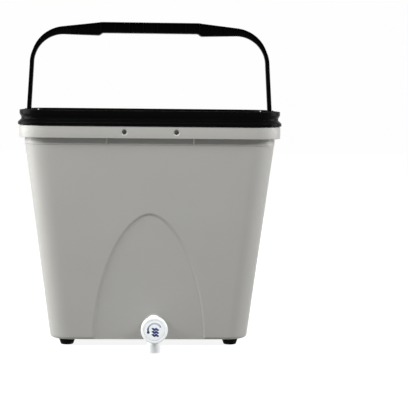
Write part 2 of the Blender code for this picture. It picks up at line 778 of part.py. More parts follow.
def handle_ring(inner, outer, depth, sign):
    """One section of the handle: a bar with chamfered edges."""
    inner = Vector((sign * inner[0], 0, inner[1]))
    outer = Vector((sign * outer[0], 0, outer[1]))
    across = (outer - inner).normalized() * HANDLE_CHAMFER
    deep = Vector((0, depth, 0))
    edge = Vector((0, HANDLE_CHAMFER, 0))
    return [
        inner - deep + edge, inner - deep + across, outer - deep - across, outer - deep + edge,
        outer + deep - edge, outer + deep - across, inner + deep + across, inner + deep - edge,
    ]


def add_handle(pivot):
    """The carrying handle: an I-section bar with pockets between cross ribs, and an eye at each end."""
    shape = HandleShape()
    runs = shape.runs()
    rings = [handle_ring(*shape.edges(run), 1) for run in runs]
    rings += [handle_ring(*shape.edges(run), -1) for run in runs[-2::-1]]
    handle = add("carry_handle", loft("carry_handle", rings), pivot, BLACK)

    eye_x = LEG_X - LEG_THICKNESS / 2
    eyes = [((sign * eye_x, 0, 0), (1, 0, 0), EYE_RADIUS, LEG_THICKNESS) for sign in (-1, 1)]
    join(handle, helper("handle_eyes", cylinders("handle_eyes", eyes, ROUND_STEPS), pivot))
    bores = [((sign * eye_x, 0, 0), (1, 0, 0), PIN_RADIUS + GAP, LEG_THICKNESS + OVERRUN) for sign in (-1, 1)]
    cut(handle, helper("handle_eye_bores", cylinders("handle_eye_bores", bores, SMALL_STEPS), pivot))

    cut(handle, helper("handle_pockets", handle_pockets(shape), pivot))
    return handle


def handle_pockets(shape):
    """Cutters for the pockets, in one mesh: each lies between two cross ribs and between the two flanges."""
    grip = shape.leg + shape.bend + shape.arm
    spans = []
    pitch = shape.bend / BEND_POCKETS
    for step in range(BEND_POCKETS):
        spans.append((shape.leg + step * pitch, shape.leg + (step + 1) * pitch))
    pitch = shape.arm / ARM_POCKETS
    for step in range(ARM_POCKETS):
        spans.append((grip - shape.arm + step * pitch, grip - shape.arm + (step + 1) * pitch))
    pitch = GRIP_WIDTH / GRIP_POCKETS
    for step in range(GRIP_POCKETS // 2):
        spans.append((grip + step * pitch, grip + (step + 1) * pitch))
    middle = shape.length - pitch / 2

    mesh = bpy.data.meshes.new("handle_pockets")
    joined = bmesh.new()
    for sign in (-1, 1):
        for face in (-1, 1):
            for start, end in spans:
                skin(joined, pocket_rings(shape, start + HANDLE_RIB / 2, end - HANDLE_RIB / 2, sign, face))
    for face in (-1, 1):
        right = pocket_rings(shape, middle + HANDLE_RIB / 2, shape.length, 1, face)
        left = pocket_rings(shape, middle + HANDLE_RIB / 2, shape.length, -1, face)
        skin(joined, right[:-1] + left[::-1])
    bmesh.ops.recalc_face_normals(joined, faces=joined.faces)
    joined.to_mesh(mesh)
    joined.free()
    return mesh


def pocket_rings(shape, start, end, sign, face):
    rings = []
    for step in range(POCKET_STEPS + 1):
        inner, outer, depth = shape.edges(start + (end - start) * step / POCKET_STEPS)
        inner = Vector((sign * inner[0], 0, inner[1]))
        outer = Vector((sign * outer[0], 0, outer[1]))
        thickness = (outer - inner).length
        across = (outer - inner).normalized() * min(HANDLE_FLANGE, FLANGE_LIMIT_SHARE * thickness)
        near = Vector((0, face * HANDLE_WEB / 2, 0))
        far = Vector((0, face * (depth + OVERRUN), 0))
        low = inner + across
        high = outer - across
        rings.append([low + near, high + near, high + far, low + far])
    return rings


def add_plate(root):
    """The drain plate: a lipped perforated plate on moulded legs that stand on the bucket's floor."""
    floor_z = BASE_Z + FLOOR
    under = floor_z + PLATE_HEIGHT
    top = under + PLATE_THICKNESS
    low = under - PLATE_LIP
    plan = wall_plan(low).grown(-WALL - ARCH_DEPTH - PLATE_CLEARANCE)
    rings = [
        plan.grown(-PLATE_LIP_WALL).ring(under),
        plan.grown(-PLATE_LIP_WALL).ring(low),
        plan.ring(low),
        plan.ring(top - RIM_EDGE),
        plan.grown(-RIM_EDGE).ring(top),
    ]
    plate = add("drain_plate", loft("drain_plate", rings), root, DARK_GREY)

    foot = floor_z + GAP
    height = under + PLATE_THICKNESS / 2 - foot
    legs = []
    for column in (-1, 0, 1):
        for row in (-1, 1):
            centre = (column * PLATE_LEG_SPACING_X, row * PLATE_LEG_Y, foot + height / 2)
            legs.append((centre, (0, 0, 1), PLATE_LEG_RADIUS, height))
    join(plate, helper("plate_legs", cylinders("plate_legs", legs, SMALL_STEPS), root))

    holes = []
    room_x = plan.half_x - PLATE_MARGIN
    room_y = plan.half_y - PLATE_MARGIN
    columns = int(room_x / PLATE_PITCH)
    rows = int(room_y / PLATE_PITCH)
    for column in range(-columns, columns + 1):
        for row in range(-rows, rows + 1):
            x, y = column * PLATE_PITCH, row * PLATE_PITCH
            if clear_of_legs(x, y, legs) and inside_plan(x, y, plan.grown(-PLATE_MARGIN / 2)):
                holes.append(((x, y, top), (0, 0, 1), PLATE_HOLE_RADIUS, 2 * PLATE_THICKNESS + OVERRUN))
    cut(plate, helper("plate_holes", cylinders("plate_holes", holes, HOLE_STEPS), root))
    return plate


def clear_of_legs(x, y, legs):
    room = PLATE_LEG_RADIUS + PLATE_HOLE_RADIUS + RIM_EDGE
    return all(math.hypot(x - centre[0], y - centre[1]) > room for centre, _, _, _ in legs)


def inside_plan(x, y, plan):
    out_x = max(abs(x) - plan.half_x + plan.corner, 0)
    out_y = max(abs(y) - plan.half_y + plan.corner, 0)
    return math.hypot(out_x, out_y) < plan.corner


def add_tap(root):
    """The tap's body: shank, flange, barrel, valve housing and spout in one. Its own Z points outward."""
    place = (TAP_X, SEAT_Y, TAP_Z)
    end = HOUSING_START + HOUSING_LENGTH
    bore = PLUG_RADIUS + GAP
    outline = [
        (HOUSING_RADIUS - RIM_EDGE, end),
        (HOUSING_RADIUS, end - RIM_EDGE),
        (HOUSING_RADIUS, HOUSING_START + RIM_EDGE),
        (HOUSING_RADIUS - RIM_EDGE, HOUSING_START),
        (BARREL_RADIUS, HOUSING_START),
        (BARREL_RADIUS, FLANGE_START + TAP_FLANGE),
        (TAP_FLANGE_RADIUS - RIM_EDGE, FLANGE_START + TAP_FLANGE),
        (TAP_FLANGE_RADIUS, FLANGE_START + TAP_FLANGE - RIM_EDGE),
        (TAP_FLANGE_RADIUS, FLANGE_START),
        (SHANK_RADIUS, FLANGE_START),
        (SHANK_RADIUS, SHANK_END),
        (SHANK_BORE, SHANK_END),
        (SHANK_BORE, PLUG_START - GAP),
        (bore, PLUG_START - GAP),
        (bore, end),
    ]
    body = add("tap_body", profile("tap_body", outline), root, WHITE, place, TAP_TURN)
    turned(body, ROUND_STEPS)

    drop = TAP_Z - SPOUT_CLEARANCE
    top = -PLUG_RADIUS - GAP - RIM_EDGE
    tube = [((0, (top - drop) / 2, SPOUT_REACH), (0, 1, 0), SPOUT_RADIUS, drop + top)]
    join(body, helper("spout", cylinders("spout", tube, ROUND_STEPS), root, place, TAP_TURN))
    bore = SPOUT_RADIUS - SPOUT_WALL
    through = [((0, -(drop + OVERRUN) / 2, SPOUT_REACH), (0, 1, 0), bore, drop + OVERRUN)]
    cut(body, helper("spout_bore", cylinders("spout_bore", through, SMALL_STEPS), root, place, TAP_TURN))
    add_tap_seals(root, place)


def ring_object(name, root, material, place, inner, outer, start, end):
    """A plain turned ring between two radii, lying between two distances along the tap's axis."""
    outline = [(outer, end), (outer, start), (inner, start), (inner, end)]
    made = add(name, profile(name, outline), root, material, place, TAP_TURN)
    turned(made, ROUND_STEPS)
    return made


def add_tap_seals(root, place):
    """What holds the tap in the wall: a washer on each side, the nut, and the filter on the shank's end."""
    hole = SHANK_RADIUS + GAP
    ring_object("outer_washer", root, SEAL_RUBBER, place, hole, WASHER_RADIUS, GAP, GAP + WASHER_THICKNESS)
    wall_end = SEAT_Y - SEAT_INNER_Y
    washer_end = wall_end - GAP - WASHER_THICKNESS
    ring_object("inner_washer", root, SEAL_RUBBER, place, hole, WASHER_RADIUS, washer_end, wall_end - GAP)
    middle = NUT_END + NUT_THICKNESS / 2
    mesh = cylinders("tap_nut", [((0, 0, middle), (0, 0, 1), NUT_RADIUS, NUT_THICKNESS)], NUT_SIDES)
    nut = add("tap_nut", mesh, root, WHITE, place, TAP_TURN)
    bore = cylinders("nut_bore", [((0, 0, middle), (0, 0, 1), hole, NUT_THICKNESS + OVERRUN)], ROUND_STEPS)
    cut(nut, helper("nut_bore", bore, root, place, TAP_TURN))

    outer = hole + FILTER_WALL
    outline = [
        (0, FILTER_END + FILTER_WALL),
        (hole, FILTER_END + FILTER_WALL),
        (hole, NUT_END - GAP),
        (outer, NUT_END - GAP),
        (outer, FILTER_END),
        (0, FILTER_END),
    ]
    made = add("tap_filter", profile("tap_filter", outline, closed=False), root, DARK_GREY, place, TAP_TURN)
    turned(made, ROUND_STEPS)
    slots = []
    for number in range(FILTER_SLOTS):
        z = FILTER_END + FILTER_WALL + (number + 1 / 2) * FILTER_LENGTH * FILTER_SLOT_SHARE / FILTER_SLOTS
        slots.append(((-hole, -outer - OVERRUN, z), (hole, outer + OVERRUN, z + FILTER_SLOT)))
    cut(made, helper("filter_slots", boxes("filter_slots", slots), root, place, TAP_TURN))


def add_valve(axis):
    """The turning valve, seen along its own Z: plug, its two rings, knob and the knob's cap."""
    groove = PLUG_RADIUS - 2 * RING_SECTION
    middle = SPOUT_REACH
    stem_end = KNOB_FACE - CAP_THICKNESS - KNOB_WALL - GAP
    outline = [(0, stem_end), (STEM_RADIUS, stem_end), (STEM_RADIUS, PLUG_END), (PLUG_RADIUS, PLUG_END)]
    for centre in (PLUG_END - RING_INSET, PLUG_START + RING_INSET):
        outline += [
            (PLUG_RADIUS, centre + RING_SECTION + GAP),
            (groove, centre + RING_SECTION + GAP),
            (groove, centre - RING_SECTION - GAP),
            (PLUG_RADIUS, centre - RING_SECTION - GAP),
        ]
    hollow = PLUG_RADIUS - PLUG_WALL
    outline += [
        (PLUG_RADIUS, PLUG_START),
        (hollow, PLUG_START),
        (hollow, middle + PLUG_PORT_RADIUS),
        (0, middle + PLUG_PORT_RADIUS),
    ]
    plug = add("valve_plug", profile("valve_plug", outline, closed=False), axis, WHITE, (0, 0, 0), TAP_TURN)
    turned(plug, ROUND_STEPS)
    port = [((PLUG_RADIUS, 0, middle), (1, 0, 0), PLUG_PORT_RADIUS, 2 * PLUG_RADIUS)]
    cut(plug, helper("plug_port", cylinders("plug_port", port, SMALL_STEPS), axis, (0, 0, 0), TAP_TURN))

    for end, centre in (("front", PLUG_END - RING_INSET), ("back", PLUG_START + RING_INSET)):
        name = "plug_o_ring_" + end
        section_centre = (PLUG_RADIUS - RING_SECTION + GAP / 2, centre)
        section = arc(section_centre, RING_SECTION - GAP / 2, 90, -210, RING_SIDES - 1)
        ring = add(name, profile(name, section), axis, SEAL_RUBBER, (0, 0, 0), TAP_TURN)
        turned(ring, ROUND_STEPS)
    add_knob(axis)


def add_knob(axis):
    """A cup-shaped knob with a hub on the plug's stem, and a disc pressed into its face."""
    floor = KNOB_FACE - CAP_THICKNESS
    under = floor - KNOB_WALL
    hub = STEM_RADIUS + GAP
    rounding = arc((KNOB_RADIUS - KNOB_ROUNDING, KNOB_FACE - KNOB_ROUNDING), KNOB_ROUNDING, 90, 0)
    outline = [
        (0, floor),
        (CAP_RADIUS + GAP, floor),
        (CAP_RADIUS + GAP, KNOB_FACE),
        *rounding,
        (KNOB_RADIUS, KNOB_START + RIM_EDGE),
        (KNOB_RADIUS - RIM_EDGE, KNOB_START),
        (KNOB_RADIUS - KNOB_WALL, KNOB_START),
        (KNOB_RADIUS - KNOB_WALL, under),
        (hub + KNOB_WALL, under),
        (hub + KNOB_WALL, PLUG_END + HUB_CLEARANCE),
        (hub, PLUG_END + HUB_CLEARANCE),
        (hub, under),
        (0, under),
    ]
    knob = add("tap_knob", profile("tap_knob", outline, closed=False), axis, WHITE, (0, 0, 0), TAP_TURN)
    turned(knob, FINE_STEPS)
    outline = [
        (0, KNOB_FACE),
        (CAP_RADIUS - RIM_EDGE, KNOB_FACE),
        (CAP_RADIUS, KNOB_FACE - RIM_EDGE),
        (CAP_RADIUS, floor + GAP),
        (0, floor + GAP),
    ]
    cap = add("knob_cap", profile("knob_cap", outline, closed=False), axis, WHITE, (0, 0, 0), TAP_TURN)
    turned(cap, FINE_STEPS)


clear_scene()
PARTS = collection("bokashi_bin")
HELPERS = collection("helpers")
HELPERS.hide_render = True

GREY = plastic("grey_polypropylene", (0.37, 0.36, 0.34), 0.42)
BLACK = plastic("black_polypropylene", (0.006, 0.006, 0.006), 0.28)
WHITE = plastic("white_acetal", (0.84, 0.86, 0.87), 0.3)
DARK_GREY = plastic("dark_grey_polypropylene", (0.05, 0.05, 0.05), 0.5)
BLACK_RUBBER = plastic("black_rubber", (0.01, 0.01, 0.01), 0.7)
SEAL_RUBBER = plastic("grey_silicone_rubber", (0.25, 0.25, 0.25), 0.6)
STEEL = plastic("steel", (0.55, 0.55, 0.55), 0.3)

BIN = empty("bin_frame", place=(0, FRAME_Y, 0))
LID_FRAME = empty("lid_frame", BIN)
HANDLE_PIVOT = empty("handle_pivot", LID_FRAME, (0, 0, PIVOT_Z))
PLATE_FRAME = empty("plate_frame", BIN)
VALVE_AXIS = empty("valve_axis", BIN, (TAP_X, SEAT_Y, TAP_Z))

add_bucket(BIN)
add_feet(BIN)
add_lid(LID_FRAME)
add_gasket(LID_FRAME)
add_pins(LID_FRAME)
add_handle(HANDLE_PIVOT)
add_plate(PLATE_FRAME)
add_tap(BIN)
add_valve(VALVE_AXIS)
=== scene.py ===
"""Looks of a bokashi bin: a grey kitchen fermenting bin with a black lid, a folding handle and a white tap.

Metres, +Z up, front of the bin towards -Y, floor at Z = 0. Shapes are worked out about the bin's own middle
and moved to its place in the frame at the end. Run it in Blender 4.5.
"""
import math

import bpy
import numpy as np
from mathutils import Matrix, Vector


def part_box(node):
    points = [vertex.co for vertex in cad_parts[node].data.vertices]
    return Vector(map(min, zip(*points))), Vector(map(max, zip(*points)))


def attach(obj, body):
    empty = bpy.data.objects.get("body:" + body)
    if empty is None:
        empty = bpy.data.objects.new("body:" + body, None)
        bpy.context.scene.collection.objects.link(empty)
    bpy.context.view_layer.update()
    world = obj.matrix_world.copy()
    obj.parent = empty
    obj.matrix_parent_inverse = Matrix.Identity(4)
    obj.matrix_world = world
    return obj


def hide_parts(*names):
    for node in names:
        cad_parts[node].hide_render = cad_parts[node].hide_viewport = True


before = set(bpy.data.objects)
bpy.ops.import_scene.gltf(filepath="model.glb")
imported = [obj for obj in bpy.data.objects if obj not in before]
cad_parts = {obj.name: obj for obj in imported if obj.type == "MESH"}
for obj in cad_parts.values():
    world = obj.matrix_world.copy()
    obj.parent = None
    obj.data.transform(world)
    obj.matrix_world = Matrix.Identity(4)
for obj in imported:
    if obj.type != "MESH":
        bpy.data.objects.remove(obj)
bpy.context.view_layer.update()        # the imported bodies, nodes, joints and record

# Camera: its distance from the bin's middle, its turn round it, its height, its turns to the right, down and
# sideways in degrees, and its focal length and frame in millimetres
CAMERA_BACK = 1.9
CAMERA_AZIMUTH = -0.515
CAMERA_HEIGHT = 0.3493
CAMERA_RIGHT = 2.896
CAMERA_DOWN = 4.774
CAMERA_TILT = 0.607
CAMERA_LENS = 116.51
CAMERA_FRAME = 36

# The bin's middle stands this far behind the middle of the whole object's box
FRAME_Y = 0.01176

# Room between two pieces that fit together
GAP = 0.0003

# How far a cutting shape reaches past the surface that it cuts: a wide one, and a bore
CUT_PAST = 0.004
BORE_PAST = 0.002

# Lines through points: the longest share of a straight that a curve takes, and points that count as one
CURVE_SHARE = 0.49
SAME_POINT = 1e-6

# Directions that turned shapes run along
UP = (0, 0, 1)
OUT = (0, -1, 0)

# Bucket
BASE_WIDTH = 0.274
BASE_DEPTH = 0.182
BASE_CORNER = 0.028
BASE_ROUNDING = 0.004
WALL = 0.0025
FLOOR = 0.0028
WALL_HEIGHT = 0.2699
WALL_SLOPE = 0.1213
SHOULDER_STEP = 0.0005
SHOULDER_HEIGHT = 0.0092
SKIRT_HEIGHT = 0.0165
SKIRT_REACH = 0.0076
SKIRT_WALL = 0.0023
MOUTH_CORNER = 0.0331
UPSTAND = 0.005
RIM_HOLE_SPACING = 0.0696
RIM_HOLE_RADIUS = 0.0031
RIM_HOLE_MOUTH = 0.0045
RIM_HOLE_SINK = 0.0008
GUSSET_SPACING = 0.117
GUSSET_WALL = 0.0026
GUSSET_DROP = 0.0078

# Arch-shaped recess: the step round it eases in over ARCH_STEP. The wall has close points over this share of
# the front's straight part and up to this far above the arch. Only points this far forward are pushed in.
ARCH_WIDTH = 0.153
ARCH_HEIGHT = 0.1772
ARCH_DEPTH = 0.0016
ARCH_POWER = 1.8
ARCH_STEP = 0.0021
ARCH_SHARE = 0.79
ARCH_ROOM = 0.004
ARCH_FRONT = 0.02

# Feet
FOOT_HEIGHT = 0.0097
FOOT_TOP_RADIUS = 0.0113
FOOT_BOTTOM_RADIUS = 0.0086
FOOT_WAIST = 0.62
STUD_RADIUS = 0.005
STUD_LENGTH = 0.0055
FOOT_X = 0.11375
FOOT_Y = 0.066

# Heights that follow
BASE_Z = FOOT_HEIGHT + GAP
SHOULDER_Z = BASE_Z + WALL_HEIGHT
SKIRT_Z = SHOULDER_Z + SHOULDER_HEIGHT
SHELF_Z = SKIRT_Z + SKIRT_HEIGHT
UPSTAND_Z = SHELF_Z + UPSTAND
MOUTH_X = BASE_WIDTH / 2 + WALL_SLOPE * WALL_HEIGHT + SHOULDER_STEP
MOUTH_Y = BASE_DEPTH / 2 + WALL_SLOPE * WALL_HEIGHT + SHOULDER_STEP

# Lid: heights above the shelf of the rim, reaches outward from the mouth
LID_WALL = 0.0018
LID_SEAT = 0.0004
LID_HEIGHT = 0.0205
FLANGE_REACH = 0.0091
FLANGE_HEIGHT = 0.0036
TIER_REACH = 0.0069
TIER_BOTTOM = 0.0158
NECK_REACH = 0.0047
NECK_HEIGHT = 0.0105
WEB_TOP = 0.0096
PANEL_TOP = 0.005
PLUG_INSET = 0.0048
PLUG_DEPTH = 0.0056
FIELD_INSET = 0.0225
FIELD_RISE = 0.0025
LID_EDGE = 0.0007
GASKET = 0.002
GASKET_INSET = 0.0045
GASKET_REACH = 0.0002

# Handle, measured from its pivot axis
PIVOT_RISE = 0.0168
PIVOT_Z = SHELF_Z + PIVOT_RISE
PIVOT = (0, 0, PIVOT_Z)
EYE_RADIUS = 0.006
LEG_THICKNESS = 0.006
LEG_HALF_DEPTH = 0.005
LEG_LEAN = 0.06
LEG_CLEARANCE = 0.0008
LEG_X = MOUTH_X + TIER_REACH - LID_WALL - LEG_CLEARANCE
BEND_HEIGHT = 0.0675
BEND_RADIUS = 0.0418
BEND_GROWTH = 0.0056
BEND_THIN = 0.0058
BEND_START = 0.28
ARM_RISE = 0.0172
ARM_DROP = 0.0012
GRIP_WIDTH = 0.14
GRIP_THICKNESS = 0.0151
GRIP_STEP = 0.0036
GRIP_HALF_DEPTH = 0.011
HANDLE_FLANGE = 0.0018
HANDLE_WEB = 0.003
HANDLE_RIB = 0.002
HANDLE_CHAMFER = 0.001
HANDLE_EDGE = 0.0003
RIB_SINK = 0.0008
FLANGE_LIMIT = 0.33
GRIP_POCKETS = 7
ARM_POCKETS = 3
BEND_POCKETS = 3
BEND_X = LEG_X - LEG_THICKNESS - LEG_LEAN * (BEND_HEIGHT - EYE_RADIUS) - BEND_RADIUS
BEND_RUN = math.pi / 2 * (BEND_RADIUS + LEG_THICKNESS / 2)
ARM_RUN = BEND_X - GRIP_WIDTH / 2
ARM_START = BEND_HEIGHT + BEND_RUN
GRIP_RUN = ARM_START + ARM_RUN
HANDLE_RUN = GRIP_RUN + GRIP_WIDTH / 2

# A quarter circle's middle lies this share of its radius in from both sides: 1 less the cosine of 45 degrees
ARC_MIDDLE = 0.29

# Pins, lugs and the room for the handle's eye
PIN_RADIUS = 0.0025
PIN_HEAD_RADIUS = 0.004
PIN_HEAD = 0.0014
LUG_RADIUS = 0.0044
LUG_LENGTH = 0.0084
LUG_CLEARANCE = 0.0006
POCKET_HALF = 0.0135
HOUSING_WALL = 0.002
LUG_FACE_X = LEG_X - LEG_THICKNESS - LUG_CLEARANCE
LUG_END_X = LUG_FACE_X - LUG_LENGTH
LID_OUTER_X = MOUTH_X + TIER_REACH

# Tap: lengths run outward from the bucket's flat seat
TAP_X = 0.0067
TAP_Z = 0.0346
SEAT_RADIUS = 0.013
SEAT_PROUD = 0.0005
SEAT_Y = -(BASE_DEPTH / 2 + WALL_SLOPE * (TAP_Z + SEAT_RADIUS - BASE_Z) - ARCH_DEPTH + SEAT_PROUD)
SEAT_LOW = BASE_DEPTH / 2 + WALL_SLOPE * (TAP_Z - SEAT_RADIUS - BASE_Z)
SEAT_INNER_Y = -(SEAT_LOW - ARCH_DEPTH - WALL - SEAT_PROUD)
TAP = (TAP_X, SEAT_Y, TAP_Z)
WASHER = 0.002
WASHER_RADIUS = 0.0112
SHANK_RADIUS = 0.008
SHANK_BORE = 0.0052
TAP_FLANGE = 0.0025
TAP_FLANGE_RADIUS = 0.0112
BARREL_RADIUS = 0.0088
HOUSING_RADIUS = 0.0122
HOUSING_START = 0.03
HOUSING_END = 0.055
SPOUT_REACH = 0.0405
SPOUT = (TAP_X, SEAT_Y - SPOUT_REACH, TAP_Z)
SPOUT_RADIUS = 0.009
SPOUT_WALL = 0.0018
SPOUT_CLEARANCE = 0.0014
PLUG_RADIUS = 0.0092
PLUG_WALL = 0.0032
PLUG_SINK = 0.0016
PLUG_START = HOUSING_START + PLUG_SINK
PLUG_END = HOUSING_END - PLUG_SINK
PLUG_PORT = 0.005
STEM_RADIUS = 0.0045
RING_SECTION = 0.0009
RING_INSET = 0.002
KNOB_RADIUS = 0.0179
KNOB_CLEARANCE = 0.0014
KNOB_DEPTH = 0.0115
KNOB_START = SPOUT_REACH + SPOUT_RADIUS + KNOB_CLEARANCE
KNOB_FACE = KNOB_START + KNOB_DEPTH
KNOB_WALL = 0.0022
HUB_CLEARANCE = 0.001
CAP_RADIUS = 0.0138
CAP_SINK = 0.0002
CAP_THICKNESS = 0.0016
NUT_THICKNESS = 0.007
NUT_RADIUS = 0.0132
FILTER_WALL = 0.0015
FILTER_LENGTH = 0.013
FILTER_GRIP = 0.004
FILTER_SLOT = 0.0016
FILTER_SLOTS = 4
FILTER_SLOT_SHARE = 0.8
WALL_END = SEAT_Y - SEAT_INNER_Y
NUT_END = WALL_END - 2 * GAP - WASHER - NUT_THICKNESS
SHANK_END = NUT_END - GAP - FILTER_GRIP
FILTER_END = SHANK_END - FILTER_LENGTH
SHANK_HOLE = SHANK_RADIUS + GAP

# Print on the knob, from a little inside to a little outside the cap's face. Places run from the cap's
# middle, and the arrow's arc turns between two angles in degrees.
PRINT_SINK = 0.00005
PRINT_RISE = 0.00008
ARROW_MIDDLE = (0.0004, 0.0006)
ARROW_RADIUS = 0.0089
ARROW_TURN = (196, 24)
ARROW_STROKE = 0.0022
DOT_MIDDLE = (-0.0081, -0.0024)
DOT_RADIUS = 0.0019
DOT_PROUD = 0.00001
WAVE_MIDDLE = 0.0013
WAVE_HEIGHTS = (-0.0064, -0.0024, 0.0016)
WAVE_REACH = 0.0042
WAVE_RISE = 0.0008
WAVE_STROKE = 0.0026

# Drain plate
LIQUID_ROOM = 0.044
PLATE_UNDER = BASE_Z + FLOOR + LIQUID_ROOM
PLATE_THICKNESS = 0.0025
PLATE_CLEARANCE = 0.0018
PLATE_LIP = 0.005
LIP_WALL = 0.002
PLATE_PITCH = 0.024
PLATE_MARGIN = 0.012
PLATE_HOLE = 0.0036
PLATE_HOLE_ROOM = 0.0006
PLATE_LEG = 0.006
PLATE_LEG_X = 0.092
PLATE_LEG_CLEARANCE = 0.0119
PLATE_LEG_Y = FILTER_END - SEAT_Y - PLATE_LEG_CLEARANCE - PLATE_LEG

# Floor and world: half the floor's width, and how bright each looks to the camera. The floor gets brighter
# between a near and a far distance from the bin, so that the bin's shadow shows on it.
FLOOR_HALF = 6.0
FLOOR_NEAR = 0.3
FLOOR_FAR = 1.2
FLOOR_GLOW_NEAR = 0.89
WHITE_GLOW = 0.99
WORLD_LIGHT = 0.04

# Lamps: name, place, the height above the bin's middle that it points at, width, height and power in watts
LAMPS = (
    ("left_softbox", (-1.6, 0.15, 0.6), 0.2, 1.2, 1.3, 34),
    ("right_softbox", (1.8, 0.15, 0.7), 0.18, 0.8, 1.2, 21),
    ("front_right_softbox", (1.7, -1.1, 1.6), 0.15, 0.6, 0.6, 30),
    ("front_left_softbox", (-1.9, -0.7, 1.3), 0.15, 0.7, 0.7, 32),
    ("front_softbox", (-0.4, -1.9, 2.2), 0.15, 0.6, 0.6, 48),
)


# Outlines

def rounded(corners, steps=4, closed=False):
    """A line through corners given as across, up and radius. Each corner becomes a quadratic curve between
    the points where a circle of that radius would touch the two straights."""
    table = np.array(corners, float)
    place, radius = table[:, :2], table[:, 2].copy()
    back = np.roll(place, 1, axis=0) - place
    ahead = np.roll(place, -1, axis=0) - place
    if not closed:
        radius[[0, -1]] = 0
        back[0], ahead[-1] = -ahead[0], -back[-1]
    back_length = np.linalg.norm(back, axis=1)
    ahead_length = np.linalg.norm(ahead, axis=1)
    cosine = (back * ahead).sum(axis=1) / (back_length * ahead_length)
    reach = radius / np.tan(np.arccos(np.clip(cosine, -1, 1)) / 2)
    reach = np.minimum(reach, CURVE_SHARE * np.minimum(back_length, ahead_length))
    start = (place + back * (reach / back_length)[:, None])[:, None]
    end = (place + ahead * (reach / ahead_length)[:, None])[:, None]
    share = np.linspace(0, 1, steps + 1)[None, :, None]
    line = (1 - share) ** 2 * start + 2 * share * (1 - share) * place[:, None] + share ** 2 * end
    line = line.reshape(-1, 2)
    apart = np.linalg.norm(np.diff(line, axis=0), axis=1) > SAME_POINT
    line = line[np.concatenate([[True], apart])]
    if closed and np.linalg.norm(line[0] - line[-1]) < SAME_POINT:
        line = line[:-1]
    return line


def seal_section(inner, outer, low, high):
    """A seal's section: a rectangle with rounded corners."""
    corners = [(inner, low), (outer, low), (outer, high), (inner, high)]
    return rounded([(*corner, 0.0004) for corner in corners], 3, closed=True)


def circle(angle, radius=1, middle=(0, 0)):
    """Points on a circle at angles."""
    return np.column_stack([middle[0] + radius * np.cos(angle), middle[1] + radius * np.sin(angle)])


def stations(front, side, back, corner):
    """Where a rounded rectangle is sampled, anticlockwise from its front: shares of its straight half sides,
    from -1 to 1, and the corner arc's direction. Each side and corner is the front's turned by quarters."""
    found = []
    bend = circle(np.radians(np.linspace(-90, 0, corner + 1)))
    for number, shares in enumerate((front, side, back, side)):
        across = np.concatenate([shares, np.ones(corner + 1)])
        straight = np.column_stack([across, -np.ones_like(across)])
        way = np.vstack([np.tile([0.0, -1.0], (len(shares), 1)), bend])
        turn = np.linalg.matrix_power([[0, -1], [1, 0]], number).T
        found.append(np.hstack([straight @ turn, way @ turn]))
    return np.vstack(found)


def inner_shares(count):
    """Evenly spaced shares between -1 and 1, without the ends."""
    return np.linspace(-1, 1, count + 2)[1:-1]


def even_stations(wide, deep, corner):
    """Stations with even steps: their number on a wide side, on a deep side and round a corner."""
    return stations(inner_shares(wide), inner_shares(deep), inner_shares(wide), corner)


def wall_rings(reach, z):
    """Half-width, half-depth, corner and height of the tapered wall, grown outward by a reach."""
    reach, z = np.broadcast_arrays(reach, z)
    slope = WALL_SLOPE * (z - BASE_Z) + reach
    corner = BASE_CORNER + (z - BASE_Z) / WALL_HEIGHT * (MOUTH_CORNER - BASE_CORNER) + reach
    return np.column_stack([BASE_WIDTH / 2 + slope, BASE_DEPTH / 2 + slope, corner, z])


def mouth_rings(line):
    """The same for the upright rim and the lid, from a profile of reach and height."""
    reach, z = line.T
    return np.column_stack([MOUTH_X + reach, MOUTH_Y + reach, MOUTH_CORNER + reach, z])


def rounded_rings(rings, outline):
    """Point = share of the straight half side + corner radius times the arc's direction, at ring height."""
    half_x, half_y, corner, z = (column[:, None] for column in rings.T)
    share_x, share_y, way_x, way_y = outline.T
    x = share_x * (half_x - corner) + corner * way_x
    y = share_y * (half_y - corner) + corner * way_y
    return np.stack([x, y, np.broadcast_to(z, x.shape)], axis=-1)


# Meshes

def linked(name, data):
    """A new object in the scene, around a mesh, lamp or camera."""
    made = bpy.data.objects.new(name, data)
    bpy.context.scene.collection.objects.link(made)
    return made


def shell(grid, wrap=False):
    """Faces over a grid whose columns run round. The first and last row are closed by a fan about
    their middle, or with wrap they meet each other. The volume's sign turns faces outward."""
    rows, columns = grid.shape[:2]
    index = np.arange(rows * columns).reshape(rows, columns)
    ahead = np.roll(index, -1, axis=1)
    points = grid.reshape(-1, 3)
    if wrap:
        quads = np.stack([index, ahead, np.roll(ahead, -1, axis=0), np.roll(index, -1, axis=0)], axis=-1)
        fans = np.empty((0, 3), int)
    else:
        quads = np.stack([index[:-1], ahead[:-1], ahead[1:], index[1:]], axis=-1)
        count = len(points)
        points = np.vstack([points, grid[0].mean(axis=0), grid[-1].mean(axis=0)])
        low = np.column_stack([ahead[0], index[0], np.full(columns, count)])
        high = np.column_stack([index[-1], ahead[-1], np.full(columns, count + 1)])
        fans = np.vstack([low, high])
    quads = quads.reshape(-1, 4)
    thirds = np.vstack([quads[:, :3], quads[:, [0, 2, 3]], fans])
    corner = points[thirds] - points.mean(axis=0)
    volume = (corner[:, 0] * np.cross(corner[:, 1], corner[:, 2])).sum()
    if volume < 0:
        quads, fans = quads[:, ::-1], fans[:, ::-1]
    return points, quads, fans


